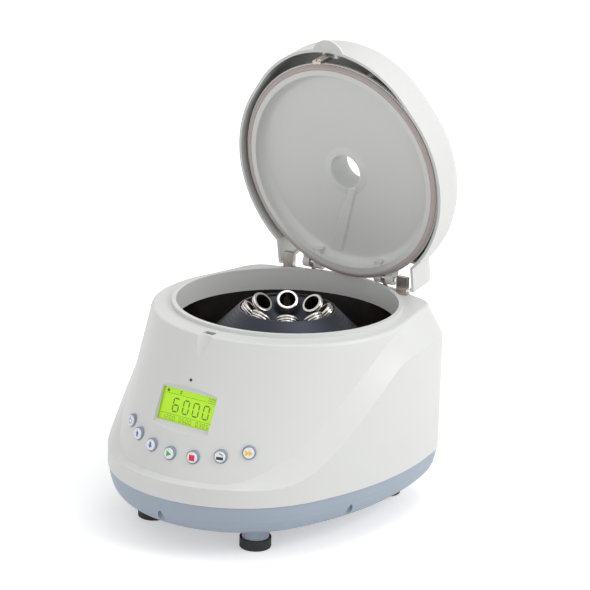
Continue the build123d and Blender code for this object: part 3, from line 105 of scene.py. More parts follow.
# %% [markdown]
# ## Moulded ABS
# The two halves of the case, the lid and the inner lid are injection-moulded ABS. The steel mould
# was spark-eroded, which leaves a fine even texture of about a third of a millimetre. Light breaks up
# on it, so the plastic looks satin. A picture of such a grain could be laid over the mesh, but it
# would need an unwrapped surface and would repeat. A noise texture on the object's own coordinates
# needs neither, so it drives the bump. A much larger noise shifts the roughness and the tone a
# little, as handling does.

# %% ABS recipe
GRAIN_STRENGTH = 0.35
HANDLING_SCALE = 14.0  # patches about 70 mm across
HANDLING_SPREAD = 0.05
HANDLED_TONE = 0.97
ABS_IOR = 1.53


def moulded_abs(name, code, roughness, grain_mm, depth_mm):
    """Satin moulded plastic with a spark-eroded grain."""
    material, tree, shader, place = start_material(name)
    grain = add_node(tree, "ShaderNodeTexNoise", {"Scale": 1000 / grain_mm, "Detail": 2.0}, {"Vector": place})
    relief = add_node(tree, "ShaderNodeBump", {"Strength": GRAIN_STRENGTH, "Distance": depth_mm * MM},
                      {"Height": grain.outputs["Fac"]})
    handling = add_node(tree, "ShaderNodeTexNoise", {"Scale": HANDLING_SCALE, "Detail": 3.0},
                        {"Vector": place})
    spread = add_node(tree, "ShaderNodeMapRange",
                      {"To Min": roughness - HANDLING_SPREAD, "To Max": roughness + HANDLING_SPREAD},
                      {"Value": handling.outputs["Fac"]})
    tone = add_node(tree, "ShaderNodeMix", {"data_type": "RGBA"})
    tone.inputs[6].default_value = colour(code)
    tone.inputs[7].default_value = tuple(channel * HANDLED_TONE for channel in colour(code)[:3]) + (1.0,)
    tree.links.new(handling.outputs["Fac"], tone.inputs[0])
    tree.links.new(tone.outputs[2], shader.inputs["Base Color"])
    tree.links.new(spread.outputs[0], shader.inputs["Roughness"])
    tree.links.new(relief.outputs[0], shader.inputs["Normal"])
    shader.inputs["IOR"].default_value = ABS_IOR
    return material


# %% [markdown]
# Every moulding shares that recipe, with its own colour, gloss and grain. The keys are moulded in a
# polished tool, so they are the smoothest, and the black nylon of the inlet and the switches is the
# dullest.

# %% Plastic pieces
case_abs = moulded_abs("light_grey_abs", "#DADBD9", roughness=0.42, grain_mm=0.35, depth_mm=0.03)
tray_abs = moulded_abs("blue_grey_abs", "#9FACBA", roughness=0.45, grain_mm=0.35, depth_mm=0.03)
liner_abs = moulded_abs("inner_lid_abs", "#DCDDDA", roughness=0.4, grain_mm=0.5, depth_mm=0.02)
bezel_abs = moulded_abs("slate_blue_abs", "#8795A8", roughness=0.35, grain_mm=0.3, depth_mm=0.02)
key_abs = moulded_abs("white_key_abs", "#F0F1F2", roughness=0.3, grain_mm=0.3, depth_mm=0.01)
black_abs = moulded_abs("black_nylon", "#26272A", roughness=0.5, grain_mm=0.3, depth_mm=0.02)
plastic_pieces = {"upper_housing": case_abs, "lid_shell": case_abs, "base_tray": tray_abs,
                  "lid_liner": liner_abs, "button_bezels": bezel_abs, "button_switches": black_abs,
                  "lid_switch": black_abs, "power_inlet": black_abs, "mains_switch": black_abs,
                  "mains_rocker": black_abs}
for name in nodes:
    if name.endswith("_button"):
        plastic_pieces[name] = key_abs
for name, plastic in plastic_pieces.items():
    finish_with(name, plastic)
print("moulded pieces:", len(plastic_pieces))

# %% [markdown]
# ## Rubber and silicone
# The feet, the mounts, the tubes' cushions and the motor's seal are black nitrile rubber, dull with a
# faint bloom. The gasket is a softer silicone that lets a little light in. A plain diffuse colour
# would make it look like chalk, so it gets some subsurface scattering.

# %% Rubber pieces
BLOOM_SCALE = 220.0  # specks about 5 mm apart
BLOOM_SPREAD = 0.08
SCATTER_REACH = (0.004, 0.003, 0.002)


def soft_rubber(name, code, roughness, glow):
    """Matt rubber with a slight bloom; glow is the share of light that scatters inside."""
    material, tree, shader, place = start_material(name)
    bloom = add_node(tree, "ShaderNodeTexNoise", {"Scale": BLOOM_SCALE, "Detail": 4.0}, {"Vector": place})
    relief = add_node(tree, "ShaderNodeBump", {"Strength": 0.3, "Distance": 0.05 * MM},
                      {"Height": bloom.outputs["Fac"]})
    spread = add_node(tree, "ShaderNodeMapRange",
                      {"To Min": roughness - BLOOM_SPREAD, "To Max": roughness + BLOOM_SPREAD},
                      {"Value": bloom.outputs["Fac"]})
    shader.inputs["Base Color"].default_value = colour(code)
    shader.inputs["Subsurface Weight"].default_value = glow
    shader.inputs["Subsurface Radius"].default_value = SCATTER_REACH
    shader.inputs["Subsurface Scale"].default_value = 0.5
    tree.links.new(spread.outputs[0], shader.inputs["Roughness"])
    tree.links.new(relief.outputs[0], shader.inputs["Normal"])
    return material


black_rubber = soft_rubber("black_nitrile_rubber", "#232325", roughness=0.7, glow=0.0)
silicone = soft_rubber("rose_grey_silicone", "#BDB1AD", roughness=0.5, glow=0.12)
rubber_pieces = ("rubber_feet", "motor_seal", "vibration_mounts", "tube_cushions")
for name in rubber_pieces:
    finish_with(name, black_rubber)
finish_with("lid_gasket", silicone)
print("rubber pieces:", len(rubber_pieces) + 1)

# %% [markdown]
# ## Turned metal
# The bowl is spun stainless steel, whose tool leaves fine rings round the axis. The rotor is turned
# aluminium, anodised black, with finer rings. The rings could be cut into the mesh, but hundreds of
# them would be needed and none stands out by itself. A wave texture in the bump shows the same broad
# sheen. Its coordinates are centred on the rotor's axis with a Mapping node. Rings as fine as the
# tool's wouldn't show in the picture, so they are drawn about six times coarser.

# %% Turned metal recipe
RING_SPREAD = 0.06
WAVE_PERIOD = pi / 10  # spacing of a wave texture's rings at a scale of 1, in metres
COARSER = 2 * pi


def turned_metal(name, code, metallic, roughness, ring_mm, depth_mm):
    """Metal with fine tool rings round the rotor's axis."""
    material, tree, shader, place = start_material(name)
    centred = add_node(tree, "ShaderNodeMapping", {"Location": (0.0, -rotor_axis_y, 0.0)}, {"Vector": place})
    rings = add_node(tree, "ShaderNodeTexWave",
                     {"wave_type": "RINGS", "rings_direction": "Z",
                      "Scale": WAVE_PERIOD / (ring_mm * MM * COARSER),
                      "Distortion": 1.5, "Detail": 2.0, "Detail Scale": 3.0}, {"Vector": centred.outputs[0]})
    relief = add_node(tree, "ShaderNodeBump", {"Strength": 0.25, "Distance": depth_mm * MM},
                      {"Height": rings.outputs["Fac"]})
    spread = add_node(tree, "ShaderNodeMapRange",
                      {"To Min": roughness - RING_SPREAD, "To Max": roughness + RING_SPREAD},
                      {"Value": rings.outputs["Fac"]})
    shader.inputs["Base Color"].default_value = colour(code)
    shader.inputs["Metallic"].default_value = metallic
    tree.links.new(spread.outputs[0], shader.inputs["Roughness"])
    tree.links.new(relief.outputs[0], shader.inputs["Normal"])
    return material


# %% [markdown]
# ## Drawn and plated metal
# The tube shields are drawn and polished steel, and pins, screws and sheet parts are zinc or nickel
# plated. Drawing and rolling leave a grain that runs one way. A brushed picture could be wrapped
# round each piece, but a noise stretched along Z needs no unwrapping and is close enough for pieces
# this small.

# %% Plated metal recipe
ALONG_GRAIN = 0.08  # the pattern runs twelve times longer along Z
PLATING_DULLEST = 0.08
PLATING_BRIGHTEST = 0.06


def plated_metal(name, code, roughness, grain_mm):
    """Plated or drawn metal with a fine grain along Z."""
    material, tree, shader, place = start_material(name)
    stretched = add_node(tree, "ShaderNodeMapping", {"Scale": (1.0, 1.0, ALONG_GRAIN)}, {"Vector": place})
    grain = add_node(tree, "ShaderNodeTexNoise", {"Scale": 1000 / grain_mm, "Detail": 3.0},
                     {"Vector": stretched.outputs[0]})
    relief = add_node(tree, "ShaderNodeBump", {"Strength": 0.12, "Distance": 0.02 * MM},
                      {"Height": grain.outputs["Fac"]})
    spread = add_node(tree, "ShaderNodeMapRange",
                      {"To Min": roughness - PLATING_BRIGHTEST, "To Max": roughness + PLATING_DULLEST},
                      {"Value": grain.outputs["Fac"]})
    shader.inputs["Base Color"].default_value = colour(code)
    shader.inputs["Metallic"].default_value = 1.0
    tree.links.new(spread.outputs[0], shader.inputs["Roughness"])
    tree.links.new(relief.outputs[0], shader.inputs["Normal"])
    return material


# %% [markdown]
# Each metal piece now gets its finish. The motor, the solenoid's shell and the transformer are
# painted or lacquered castings and cores, so they stay mostly non-metallic.

# %% Metal pieces
bowl_steel = turned_metal("spun_stainless_steel", "#8C817A", metallic=1.0, roughness=0.3, ring_mm=0.8,
                          depth_mm=0.02)
rotor_black = turned_metal("black_anodised_aluminium", "#383B44", metallic=0.75, roughness=0.36, ring_mm=0.5,
                           depth_mm=0.01)
motor_paint = turned_metal("painted_cast_iron", "#4B4F54", metallic=0.2, roughness=0.5, ring_mm=2.0,
                           depth_mm=0.02)
shield_steel = plated_metal("polished_stainless_steel", "#CFCBC5", roughness=0.16, grain_mm=0.6)
bright_steel = plated_metal("bright_turned_steel", "#B9BBBD", roughness=0.25, grain_mm=0.4)
zinc_steel = plated_metal("zinc_plated_steel", "#A3A7AA", roughness=0.35, grain_mm=0.5)
nickel_steel = plated_metal("nickel_plated_steel", "#B5ADA6", roughness=0.27, grain_mm=0.7)
metal_pieces = (
    (bowl_steel, ("chamber_bowl",)),
    (rotor_black, ("rotor_body",)),
    (motor_paint, ("motor_body", "latch_solenoid", "transformer")),
    (shield_steel, ("tube_shields",)),
    (bright_steel, ("motor_shaft", "rotor_nut", "hinge_pins", "latch_pin", "latch_plunger")),
    (zinc_steel, ("motor_plate", "latch_frame", "latch_pawl", "latch_spring", "foot_screws", "case_screws",
                  "plate_screws", "board_screws", "power_screws", "lid_screws")),
    (nickel_steel, ("hinge_bracket_left", "hinge_bracket_right", "latch_striker")),
)
for metal, names in metal_pieces:
    for name in names:
        finish_with(name, metal)
print("metal pieces:", sum(len(names) for metal, names in metal_pieces))

# %% [markdown]
# ## Clear panes
# The pane in front of the display and the window in the lid are clear polycarbonate. Its true index
# is near 1.58, but at that index the panes mirror so much of the white surroundings that the display
# turns pale. The lower one used here keeps the faint reflection that a coated pane has.

# %% Clear polycarbonate
COATED_PANE_IOR = 1.2
clear_pane, tree, shader, place = start_material("clear_polycarbonate")
shader.inputs["Base Color"].default_value = colour("#F6F9F8")
shader.inputs["Roughness"].default_value = 0.04
shader.inputs["Transmission Weight"].default_value = 1.0
shader.inputs["IOR"].default_value = COATED_PANE_IOR
haze = add_node(tree, "ShaderNodeTexNoise", {"Scale": 60.0}, {"Vector": place})
ripple = add_node(tree, "ShaderNodeBump", {"Strength": 0.04, "Distance": 0.01 * MM},
                  {"Height": haze.outputs["Fac"]})
tree.links.new(ripple.outputs[0], shader.inputs["Normal"])
for name in ("display_window", "sight_window"):
    finish_with(name, clear_pane)
print("panes share", clear_pane.name)

# %% [markdown]
# ## Lit display and lamp
# The display is a reflective liquid-crystal cell with a lime backlight, so its face gives off a
# little light of its own. Two close limes are mixed by a soft noise, because a backlight is never
# quite even. The lamp over it is off, and its smoked lens is nearly black.

# %% Display cell and lamp lens
BACKLIGHT = 0.35
lcd_face, tree, shader, place = start_material("lime_backlit_cell")
unevenness = add_node(tree, "ShaderNodeTexNoise", {"Scale": 30.0, "Detail": 1.0}, {"Vector": place})
lime = add_node(tree, "ShaderNodeMix", {"data_type": "RGBA"})
lime.inputs[6].default_value = colour("#B2E000")
lime.inputs[7].default_value = colour("#A6D600")
tree.links.new(unevenness.outputs["Fac"], lime.inputs[0])
tree.links.new(lime.outputs[2], shader.inputs["Base Color"])
tree.links.new(lime.outputs[2], shader.inputs["Emission Color"])
shader.inputs["Emission Strength"].default_value = BACKLIGHT
shader.inputs["Roughness"].default_value = 0.35
finish_with("lcd_panel", lcd_face)

lamp_lens, tree, shader, place = start_material("smoked_lamp_lens")
shader.inputs["Base Color"].default_value = colour("#2A2118")
shader.inputs["Roughness"].default_value = 0.15
clouding = add_node(tree, "ShaderNodeTexNoise", {"Scale": 900.0}, {"Vector": place})
dimple = add_node(tree, "ShaderNodeBump", {"Strength": 0.1, "Distance": 0.02 * MM},
                  {"Height": clouding.outputs["Fac"]})
tree.links.new(dimple.outputs[0], shader.inputs["Normal"])
finish_with("status_lamp", lamp_lens)
print("backlight strength:", BACKLIGHT)

# %% [markdown]
# ## Circuit boards
# The boards are glass fibre under a green solder resist, with copper tracks that show through as
# slightly lighter lines. They lie inside the case, so a brick pattern with lines every 1.6 mm one
# way and 3 mm the other is enough. The last line lists every piece that is still bare.

# %% Solder resist
circuit_board, tree, shader, place = start_material("green_solder_resist")
tracks = add_node(tree, "ShaderNodeTexBrick", {"Scale": 160.0, "Mortar Size": 0.012}, {"Vector": place})
tracks.inputs["Color1"].default_value = colour("#2C6A45")
tracks.inputs["Color2"].default_value = colour("#2F7049")
tracks.inputs["Mortar"].default_value = colour("#3F8259")
tree.links.new(tracks.outputs["Color"], shader.inputs["Base Color"])
shader.inputs["Roughness"].default_value = 0.3
for name in ("control_board", "power_board"):
    finish_with(name, circuit_board)
bare = [name for name, item in nodes.items() if not item.data.materials or item.data.materials[0] is None]
print("pieces without a finish:", bare)

# %% [markdown]
# ## Flat signs
# The display's figures and the signs on the buttons are thin films. Each is a flat outline raised by
# a few hundredths of a millimetre. A painted mask could show them too, but an edge in the mesh stays
# sharp at any distance. One helper turns outlines, given in millimetres on a plane, into a closed
# mesh at its final place, so the object itself stays unturned at the origin.

# %% Film helpers
INK_TOOTH_SCALE = 3000.0  # a third of a millimetre, as a fine screen leaves


def film(name, outlines, plane, thickness_mm, material, body):
    """Thin closed film from flat outlines on a plane (origin, right, up, normal), riding on a body."""
    origin, right, up, normal = plane
    points = []
    faces = []
    for outline in outlines:
        start = len(points)
        count = len(outline)
        for lift in (0.0, thickness_mm * MM):
            points += [origin + right * (x * MM) + up * (y * MM) + normal * lift for x, y in outline]
        faces.append([start + index for index in reversed(range(count))])
        faces.append([start + count + index for index in range(count)])
        for index in range(count):
            after = (index + 1) % count
            faces.append([start + index, start + after, start + count + after, start + count + index])
    mesh = bpy.data.meshes.new(name)
    mesh.from_pydata([tuple(point) for point in points], [], faces)
    mesh.update()
    mesh.materials.append(material)
    piece = bpy.data.objects.new(name, mesh)
    bpy.context.scene.collection.objects.link(piece)
    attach(piece, body)
    return piece


def printing_ink(name, code, roughness=0.4):
    """Screen-printed ink: one colour with the faint tooth that the mesh leaves."""
    material, tree, shader, place = start_material(name)
    tooth = add_node(tree, "ShaderNodeTexNoise", {"Scale": INK_TOOTH_SCALE}, {"Vector": place})
    relief = add_node(tree, "ShaderNodeBump", {"Strength": 0.1, "Distance": 0.01 * MM},
                      {"Height": tooth.outputs["Fac"]})
    shader.inputs["Base Color"].default_value = colour(code)
    shader.inputs["Roughness"].default_value = roughness
    tree.links.new(relief.outputs[0], shader.inputs["Normal"])
    return material


# %% [markdown]
# ## Seven-segment figures
# A liquid-crystal display of this kind shows figures of seven straight segments with pointed ends.
# The segments are named a to g, clockwise from the top with g across the middle, and each figure is
# the list of those that are dark.

# %% Segment helpers
SEGMENTS = {"0": "abcdef", "1": "bc", "2": "abged", "3": "abgcd", "5": "afgcd", "6": "afgedc", "9": "abfgcd"}
# Both ends of each segment as x1, y1, x2, y2, in widths and in half heights of the figure
SEGMENT_ENDS = {"a": (0, 2, 1, 2), "b": (1, 1, 1, 2), "c": (1, 0, 1, 1), "d": (0, 0, 1, 0), "e": (0, 0, 0, 1),
                "f": (0, 1, 0, 2), "g": (0, 1, 1, 1)}
GAP_IN_STROKES = 0.35


def bar(x1, y1, x2, y2, width):
    """Outline of one segment with pointed ends."""
    length = ((x2 - x1) ** 2 + (y2 - y1) ** 2) ** 0.5
    along = ((x2 - x1) / length, (y2 - y1) / length)
    side = (-along[1], along[0])
    half = width / 2
    steps = ((0, 0), (half, -half), (length - half, -half), (length, 0), (length - half, half), (half, half))
    return [(x1 + along[0] * a + side[0] * b, y1 + along[1] * a + side[1] * b) for a, b in steps]


def figure(sign, x, y, width, height, stroke):
    """Seven-segment figure with its lower left corner at x, y."""
    outlines = []
    for part in SEGMENTS[sign]:
        x1, y1, x2, y2 = SEGMENT_ENDS[part]
        gap_x = GAP_IN_STROKES * stroke if x1 != x2 else 0
        gap_y = GAP_IN_STROKES * stroke if y1 != y2 else 0
        outlines.append(bar(x + x1 * width + gap_x, y + y1 * height / 2 + gap_y,
                            x + x2 * width - gap_x, y + y2 * height / 2 - gap_y, stroke))
    return outlines


def figure_row(text, x, y, pitch, width, height, stroke):
    """Outlines of a row of figures; a blank leaves its place empty."""
    outlines = []
    for index, sign in enumerate(text):
        if sign != " ":
            outlines += figure(sign, x + pitch * index, y, width, height, stroke)
    return outlines


print("segments of an eight:", len(SEGMENT_ENDS))

# %% [markdown]
# ## The display's face
# Four tall figures give the speed, and a row of small ones the settings. Fine rules part the rows,
# and two small marks stand over them. All lie on the cell's own face, which leans back by about 21
# degrees, a hundredth of a millimetre above it so that the two surfaces don't flicker.

# %% Display figures
DISPLAY_LEAN = radians(20.8)
DISPLAY_REACH = 165.6  # in front of the rotor's axis
DISPLAY_HEIGHT = 138.6
FACE_GAP = 0.01
FIGURE_THICK = 0.02
RULE_WIDTH = 0.3
RULES = ((-29, 20, 10.6), (21, 32, 10.2), (-31, 31, -9.6))  # from, to and height
MARK_X = -28
MARK_Y = 13.2
MARK_RADIUS = 1.6
HOURGLASS = [[(-14, 12.0), (-11, 12.0), (-12.5, 13.4)], [(-14, 14.8), (-12.5, 13.4), (-11, 14.8)]]
display_normal = Vector((0, -cos(DISPLAY_LEAN), sin(DISPLAY_LEAN)))
display_up = Vector((0, sin(DISPLAY_LEAN), cos(DISPLAY_LEAN)))
display_middle = Vector((0, rotor_axis_y - DISPLAY_REACH * MM, DISPLAY_HEIGHT * MM))
display_face = (display_middle + display_normal * (FACE_GAP * MM), Vector((1, 0, 0)), display_up,
                display_normal)
figures = figure_row("6000", x=-18.6, y=-6.4, pitch=12.4, width=6.6, height=13.2, stroke=1.25)
figures += figure_row("1200 0600 0395", x=-28.4, y=-15.0, pitch=4.15, width=2.3, height=4.0, stroke=0.42)
figures += figure_row("000", x=22.0, y=12.0, pitch=3.1, width=1.9, height=2.8, stroke=0.4)
figures += [[(low, level), (high, level), (high, level + RULE_WIDTH), (low, level + RULE_WIDTH)]
            for low, high, level in RULES]
figures += [[(MARK_X + MARK_RADIUS * cos(pi * k / 6), MARK_Y + MARK_RADIUS * sin(pi * k / 6))
             for k in range(12)]]
figures += HOURGLASS
segment_ink = printing_ink("olive_crystal_segment", "#4E6A00", 0.5)
film("display_figures", figures, display_face, FIGURE_THICK, segment_ink, "housing")
print("segments and marks on the display:", len(figures))

# %% [markdown]
# ## Where a button faces
# Each button face carries one plain sign in coloured ink. The buttons stand on a curve, so each has
# its own direction. It is taken from the line they all face away from, 20 mm in front of the rotor's
# axis, and the face's centre is the middle of the button's own mesh on the plane square to it.

# %% Button planes
BUTTON_RISE = radians(8)
BUTTON_CENTRE = 20  # in front of the rotor's axis


def face_plane(name):
    """Plane on the outer face of a button, from its mesh."""
    low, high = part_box(name)
    middle = (low + high) / 2
    out = Vector((middle.x, middle.y - rotor_axis_y + BUTTON_CENTRE * MM, 0)).normalized()
    normal = out * cos(BUTTON_RISE) + Vector((0, 0, sin(BUTTON_RISE)))
    right = Vector((-out.y, out.x, 0))
    up = normal.cross(right)
    spots = [vertex.co for vertex in nodes[name].data.vertices]
    spans = [[spot.dot(axis) for spot in spots] for axis in (right, up)]
    across = [(min(span) + max(span)) / 2 for span in spans]
    reach = max(spot.dot(normal) for spot in spots)
    return right * across[0] + up * across[1] + normal * reach, right, up, normal


print("the stop button faces", [round(part, 2) for part in face_plane("stop_button")[3]])

# %% [markdown]
# ## Signs on the buttons
# The signs mean power, up, down, start, stop, lid and pulse. They are drawn as outlines in
# millimetres about the middle of the face, and one scale sets them all to the size seen. The ring of
# the power sign and the lid's open flap are bands along an arc.

# %% Button signs
SIGN_SCALE = 1.15
SIGN_THICK = 0.05
ARROW = [(-1.2, -2.6), (1.2, -2.6), (1.2, 0.2), (2.6, 0.2), (0, 2.8), (-2.6, 0.2), (-1.2, 0.2)]


def arc_band(radius, width, start, end, steps=14):
    """Outline of a band along an arc, angles in degrees."""
    angles = [radians(start + (end - start) * k / steps) for k in range(steps + 1)]
    outer = [((radius + width / 2) * cos(a), (radius + width / 2) * sin(a)) for a in angles]
    inner = [((radius - width / 2) * cos(a), (radius - width / 2) * sin(a)) for a in reversed(angles)]
    return outer + inner


signs = {
    "power_button": ("#2F7FC4", [arc_band(radius=2.5, width=0.8, start=125, end=415),
                                 [(-0.4, 0.6), (0.4, 0.6), (0.4, 3.4), (-0.4, 3.4)]]),
    "up_button": ("#2F7FC4", [ARROW]),
    "down_button": ("#2F7FC4", [[(x, -y) for x, y in reversed(ARROW)]]),
    "start_button": ("#35B04A", [[(-2.0, -2.9), (3.0, -0.2), (-2.0, 2.5)]]),
    "stop_button": ("#E2103F", [[(-2.7, -2.9), (2.7, -2.9), (2.7, 2.3), (-2.7, 2.3)]]),
    "lid_button": ("#141416", [[(-3.1, -2.6), (3.1, -2.6), (3.1, -0.1), (-3.1, -0.1)],
                               arc_band(radius=2.6, width=0.6, start=20, end=110, steps=8)]),
    "pulse_button": ("#FFC20E", [[(-3.0, -2.8), (0.3, -0.2), (-3.0, 2.4)],
                                 [(0.1, -2.8), (3.4, -0.2), (0.1, 2.4)]]),
}
for name, (code, shapes) in signs.items():
    outlines = [[(x * SIGN_SCALE, y * SIGN_SCALE) for x, y in shape] for shape in shapes]
    ink = printing_ink(name.replace("_button", "_ink"), code)
    film(name.replace("_button", "_sign"), outlines, face_plane(name), SIGN_THICK, ink, name)
print("signs:", sorted(signs))

# %% [markdown]
# ## Enamelled copper
# The latch's solenoid is wound with enamelled copper wire. The varnish leaves the metal shiny but
# slightly uneven, so the roughness follows a fine noise and the metal keeps its default index.

# %% Copper wire
copper, tree, shader, place = start_material("enamelled_copper_wire")
varnish = add_node(tree, "ShaderNodeTexNoise", {"Scale": 500.0}, {"Vector": place})
depth = add_node(tree, "ShaderNodeMapRange", {"To Min": 0.25, "To Max": 0.4},
                 {"Value": varnish.outputs["Fac"]})
tree.links.new(depth.outputs[0], shader.inputs["Roughness"])
shader.inputs["Base Color"].default_value = colour("#A4552B")
shader.inputs["Metallic"].default_value = 1.0
print("wire finish:", copper.name)

# %% [markdown]
# ## Windings of the latch's coil
# The bobbin carries turns of that wire side by side. A real winding is a helix, but the coil lies
# inside the case, where the difference can't be seen. So a short Geometry Nodes tree makes one turn
# as a circle with a round section and repeats it along the bobbin. Realize Instances turns the
# copies into real mesh, because an export drops instances.

# %% Winding tree
TURNS = 20
WINDING_SIZES = (("Coil radius", 7.2 * MM), ("Wire radius", 0.45 * MM), ("Pitch", 0.95 * MM))
winding = bpy.data.node_groups.new("coil_winding", "GeometryNodeTree")
winding.interface.new_socket("Geometry", in_out="OUTPUT", socket_type="NodeSocketGeometry")
inputs = {}
for label, value in WINDING_SIZES:
    socket = winding.interface.new_socket(label, in_out="INPUT", socket_type="NodeSocketFloat")
    inputs[label] = (socket.identifier, value)
turns_socket = winding.interface.new_socket("Turns", in_out="INPUT", socket_type="NodeSocketInt")
inputs["Turns"] = (turns_socket.identifier, TURNS)
given = add_node(winding, "NodeGroupInput")
one_turn = add_node(winding, "GeometryNodeCurvePrimitiveCircle", {"Resolution": 40},
                    {"Radius": given.outputs["Coil radius"]})
section = add_node(winding, "GeometryNodeCurvePrimitiveCircle", {"Resolution": 8},
                   {"Radius": given.outputs["Wire radius"]})
wire = add_node(winding, "GeometryNodeCurveToMesh", None,
                {"Curve": one_turn.outputs[0], "Profile Curve": section.outputs[0]})
step = add_node(winding, "ShaderNodeCombineXYZ", None, {"Z": given.outputs["Pitch"]})
row = add_node(winding, "GeometryNodeMeshLine", None,
               {"Count": given.outputs["Turns"], "Offset": step.outputs[0]})
copies = add_node(winding, "GeometryNodeInstanceOnPoints", None,
                  {"Points": row.outputs[0], "Instance": wire.outputs[0]})
real = add_node(winding, "GeometryNodeRealizeInstances", None, {"Geometry": copies.outputs[0]})
finished = add_node(winding, "GeometryNodeSetMaterial", {"Material": copper}, {"Geometry": real.outputs[0]})
add_node(winding, "NodeGroupOutput", None, {"Geometry": finished.outputs[0]})
print("nodes in the winding tree:", len(winding.nodes))

# %% [markdown]
# The tree runs on an empty mesh. Its result is baked to a plain mesh and moved into the solenoid,
# whose own box gives the place, just behind the bobbin's front flange. The helper object and its
# modifier are removed before the coil joins the housing.

# %% Wind the coil
FIRST_WIRE = 2.4  # behind the solenoid's front end


def grow(name, group, values, place, body):
    """Run a node tree on an empty mesh, bake it at its place, and let it ride on a body."""
    holder = bpy.data.objects.new(name + "_holder", bpy.data.meshes.new(name + "_seed"))
    bpy.context.scene.collection.objects.link(holder)
    modifier = holder.modifiers.new("tree", "NODES")
    modifier.node_group = group
    for identifier, value in values.values():
        modifier[identifier] = value
    bpy.context.view_layer.update()
    evaluated = holder.evaluated_get(bpy.context.evaluated_depsgraph_get())
    mesh = bpy.data.meshes.new_from_object(evaluated)
    bpy.data.objects.remove(holder)
    mesh.transform(place)
    piece = bpy.data.objects.new(name, mesh)
    bpy.context.scene.collection.objects.link(piece)
    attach(piece, body)
    return piece


coil_low, coil_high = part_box("latch_solenoid")
coil_start = Vector((0, coil_low.y + FIRST_WIRE * MM, (coil_low.z + coil_high.z) / 2))
along_bobbin = Matrix.Translation(coil_start) @ Matrix.Rotation(-pi / 2, 4, "X")
coil = grow("coil_windings", winding, inputs, along_bobbin, "housing")
print("coil faces:", len(coil.data.polygons))

# %% [markdown]
# ## Bench
# The bench is a plain white sheet. Lamps alone would leave it grey or burn out the instrument, so it
# also glows. The glow counts only for rays from the camera, a mirror or a clear part, so it whitens
# the page without lighting the object, and it grows with distance, which keeps the soft shadow under
# the feet.

# %% White sheet
BENCH_HALF = 6
BENCH_WHITE = 0.82
BENCH_GLOW = 0.42
FAR_GLOW = 0.9
GLOW_STARTS = 0.35
GLOW_ENDS = 1.2


def looked_at(tree):
    """1 for rays from the camera, a mirror or a clear part, and 0 for rays that only carry light."""
    ray = add_node(tree, "ShaderNodeLightPath")
    clear = add_node(tree, "ShaderNodeMath", {"operation": "MAXIMUM"},
                     {0: ray.outputs["Is Camera Ray"], 1: ray.outputs["Is Transmission Ray"]})
    either = add_node(tree, "ShaderNodeMath", {"operation": "MAXIMUM"},
                      {0: clear.outputs[0], 1: ray.outputs["Is Glossy Ray"]})
    return either.outputs[0]


bench_mesh = bpy.data.meshes.new("bench")
corners = [(-BENCH_HALF, -BENCH_HALF, 0), (BENCH_HALF, -BENCH_HALF, 0), (BENCH_HALF, BENCH_HALF, 0),
           (-BENCH_HALF, BENCH_HALF, 0)]
bench_mesh.from_pydata(corners, [], [(0, 1, 2, 3)])
bench_mesh.update()
bench = bpy.data.objects.new("bench", bench_mesh)
bpy.context.scene.collection.objects.link(bench)
bench_paper = bpy.data.materials.new("white_bench_sheet")
bench_paper.use_nodes = True
tree = bench_paper.node_tree
tree.nodes.clear()
sheet = add_node(tree, "ShaderNodeBsdfDiffuse", {"Color": (BENCH_WHITE, BENCH_WHITE, BENCH_WHITE, 1.0)})
spot = add_node(tree, "ShaderNodeTexCoord")
reach = add_node(tree, "ShaderNodeVectorMath", {"operation": "LENGTH"}, {0: spot.outputs["Object"]})
fade = add_node(tree, "ShaderNodeMapRange",
                {"From Min": GLOW_STARTS, "From Max": GLOW_ENDS, "To Min": BENCH_GLOW, "To Max": FAR_GLOW},
                {"Value": reach.outputs["Value"]})
seen = add_node(tree, "ShaderNodeMath", {"operation": "MULTIPLY"}, {0: looked_at(tree), 1: fade.outputs[0]})
lift = add_node(tree, "ShaderNodeEmission", {"Color": WHITE}, {"Strength": seen.outputs[0]})
both = add_node(tree, "ShaderNodeAddShader", None, {0: sheet.outputs[0], 1: lift.outputs[0]})
add_node(tree, "ShaderNodeOutputMaterial", None, {"Surface": both.outputs[0]})
bench_mesh.materials.append(bench_paper)
print("bench side:", 2 * BENCH_HALF, "m")

# %% [markdown]
# ## World
# An even white world stands for the white walls of a studio. It fills the shadows at about three
# fifths of its strength and is seen at its full white.

# %% White surroundings
WORLD_FILL = 0.62
scene = bpy.context.scene
world = bpy.data.worlds.new("studio")
scene.world = world
world.use_nodes = True
tree = world.node_tree
tree.nodes.clear()
level = add_node(tree, "ShaderNodeMapRange", {"To Min": WORLD_FILL, "To Max": 1.0}, {"Value": looked_at(tree)})
sky = add_node(tree, "ShaderNodeBackground", {"Color": WHITE}, {"Strength": level.outputs[0]})
add_node(tree, "ShaderNodeOutputWorld", None, {"Surface": sky.outputs[0]})
print("fill from the world:", WORLD_FILL)

# %% [markdown]
# ## Lamps
# The picture's light is soft, with its bright side to the right. A large softbox there gives the
# direction, a weak one low in front lifts the skirt and the inner lid, and a third hangs above the
# deck. Large boxes are used because small lamps would draw hard edges on the satin plastic.

# %% Softboxes


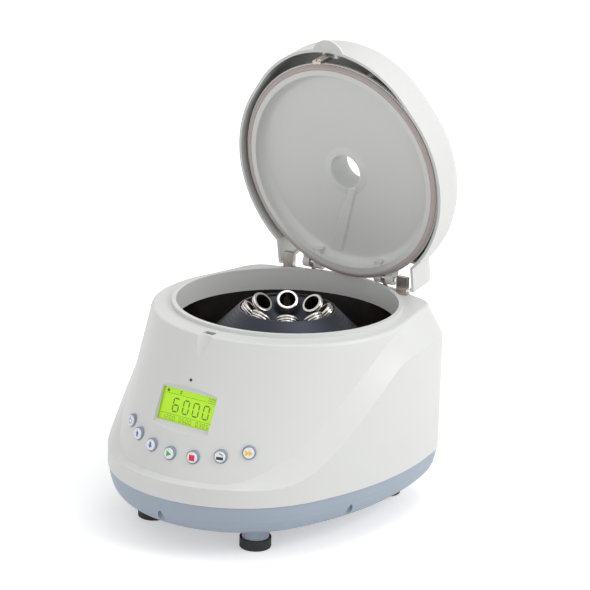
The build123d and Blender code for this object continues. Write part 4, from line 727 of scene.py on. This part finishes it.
def softbox(name, place, target, size, power):
    """Square area lamp aimed at a point."""
    lamp = bpy.data.lights.new(name, "AREA")
    lamp.size = size
    lamp.energy = power
    item = bpy.data.objects.new(name, lamp)
    item.location = place
    item.rotation_mode = "QUATERNION"
    item.rotation_quaternion = (Vector(target) - Vector(place)).to_track_quat("-Z", "Y")
    scene.collection.objects.link(item)


softbox("key_right", place=(2.0, 0.45, 1.4), target=(0, 0, 0.2), size=1.1, power=22)
softbox("low_front", place=(-0.5, -2.2, 0.45), target=(0, 0, 0.25), size=1.4, power=7)
softbox("top", place=(0.3, 0.2, 2.0), target=(0, 0, 0.2), size=1.2, power=8)
scene.view_settings.view_transform = "Standard"
print("lamps:", len(bpy.data.lights))

# %% [markdown]
# ## Camera
# The camera's place and aim were solved from the photograph: the round chamber, the lid's rim and
# the rotor give its direction, and the width of a tube's rim gives its distance. It is a long lens,
# about three times a normal one, rolled by a degree and a half. The place is measured from the foot
# of the rotor's axis.

# %% Camera
AZIMUTH = radians(34.82)
ELEVATION = radians(16.82)
ROLL = radians(1.61)
EYE_PLACE = Vector((1.4017, -2.0020, 0.9566))
FOCAL_PIXELS = 2476
PICTURE_PIXELS = 590
SENSOR_WIDTH = 36
across = Vector((cos(AZIMUTH), sin(AZIMUTH), 0))
back = Vector((sin(AZIMUTH) * cos(ELEVATION), -cos(AZIMUTH) * cos(ELEVATION), sin(ELEVATION)))
upright = back.cross(across)
right = across * cos(ROLL) + upright * sin(ROLL)
top = upright * cos(ROLL) - across * sin(ROLL)
eye = bpy.data.cameras.new("camera")
eye.sensor_width = SENSOR_WIDTH
eye.lens = SENSOR_WIDTH * FOCAL_PIXELS / PICTURE_PIXELS
eye.clip_end = 50
camera = bpy.data.objects.new("camera", eye)
turn = Matrix((right, top, back)).transposed().to_4x4()
camera.matrix_world = Matrix.Translation(EYE_PLACE + Vector((0, rotor_axis_y, 0))) @ turn
scene.collection.objects.link(camera)
scene.camera = camera
print("lens:", round(eye.lens, 1), "mm")
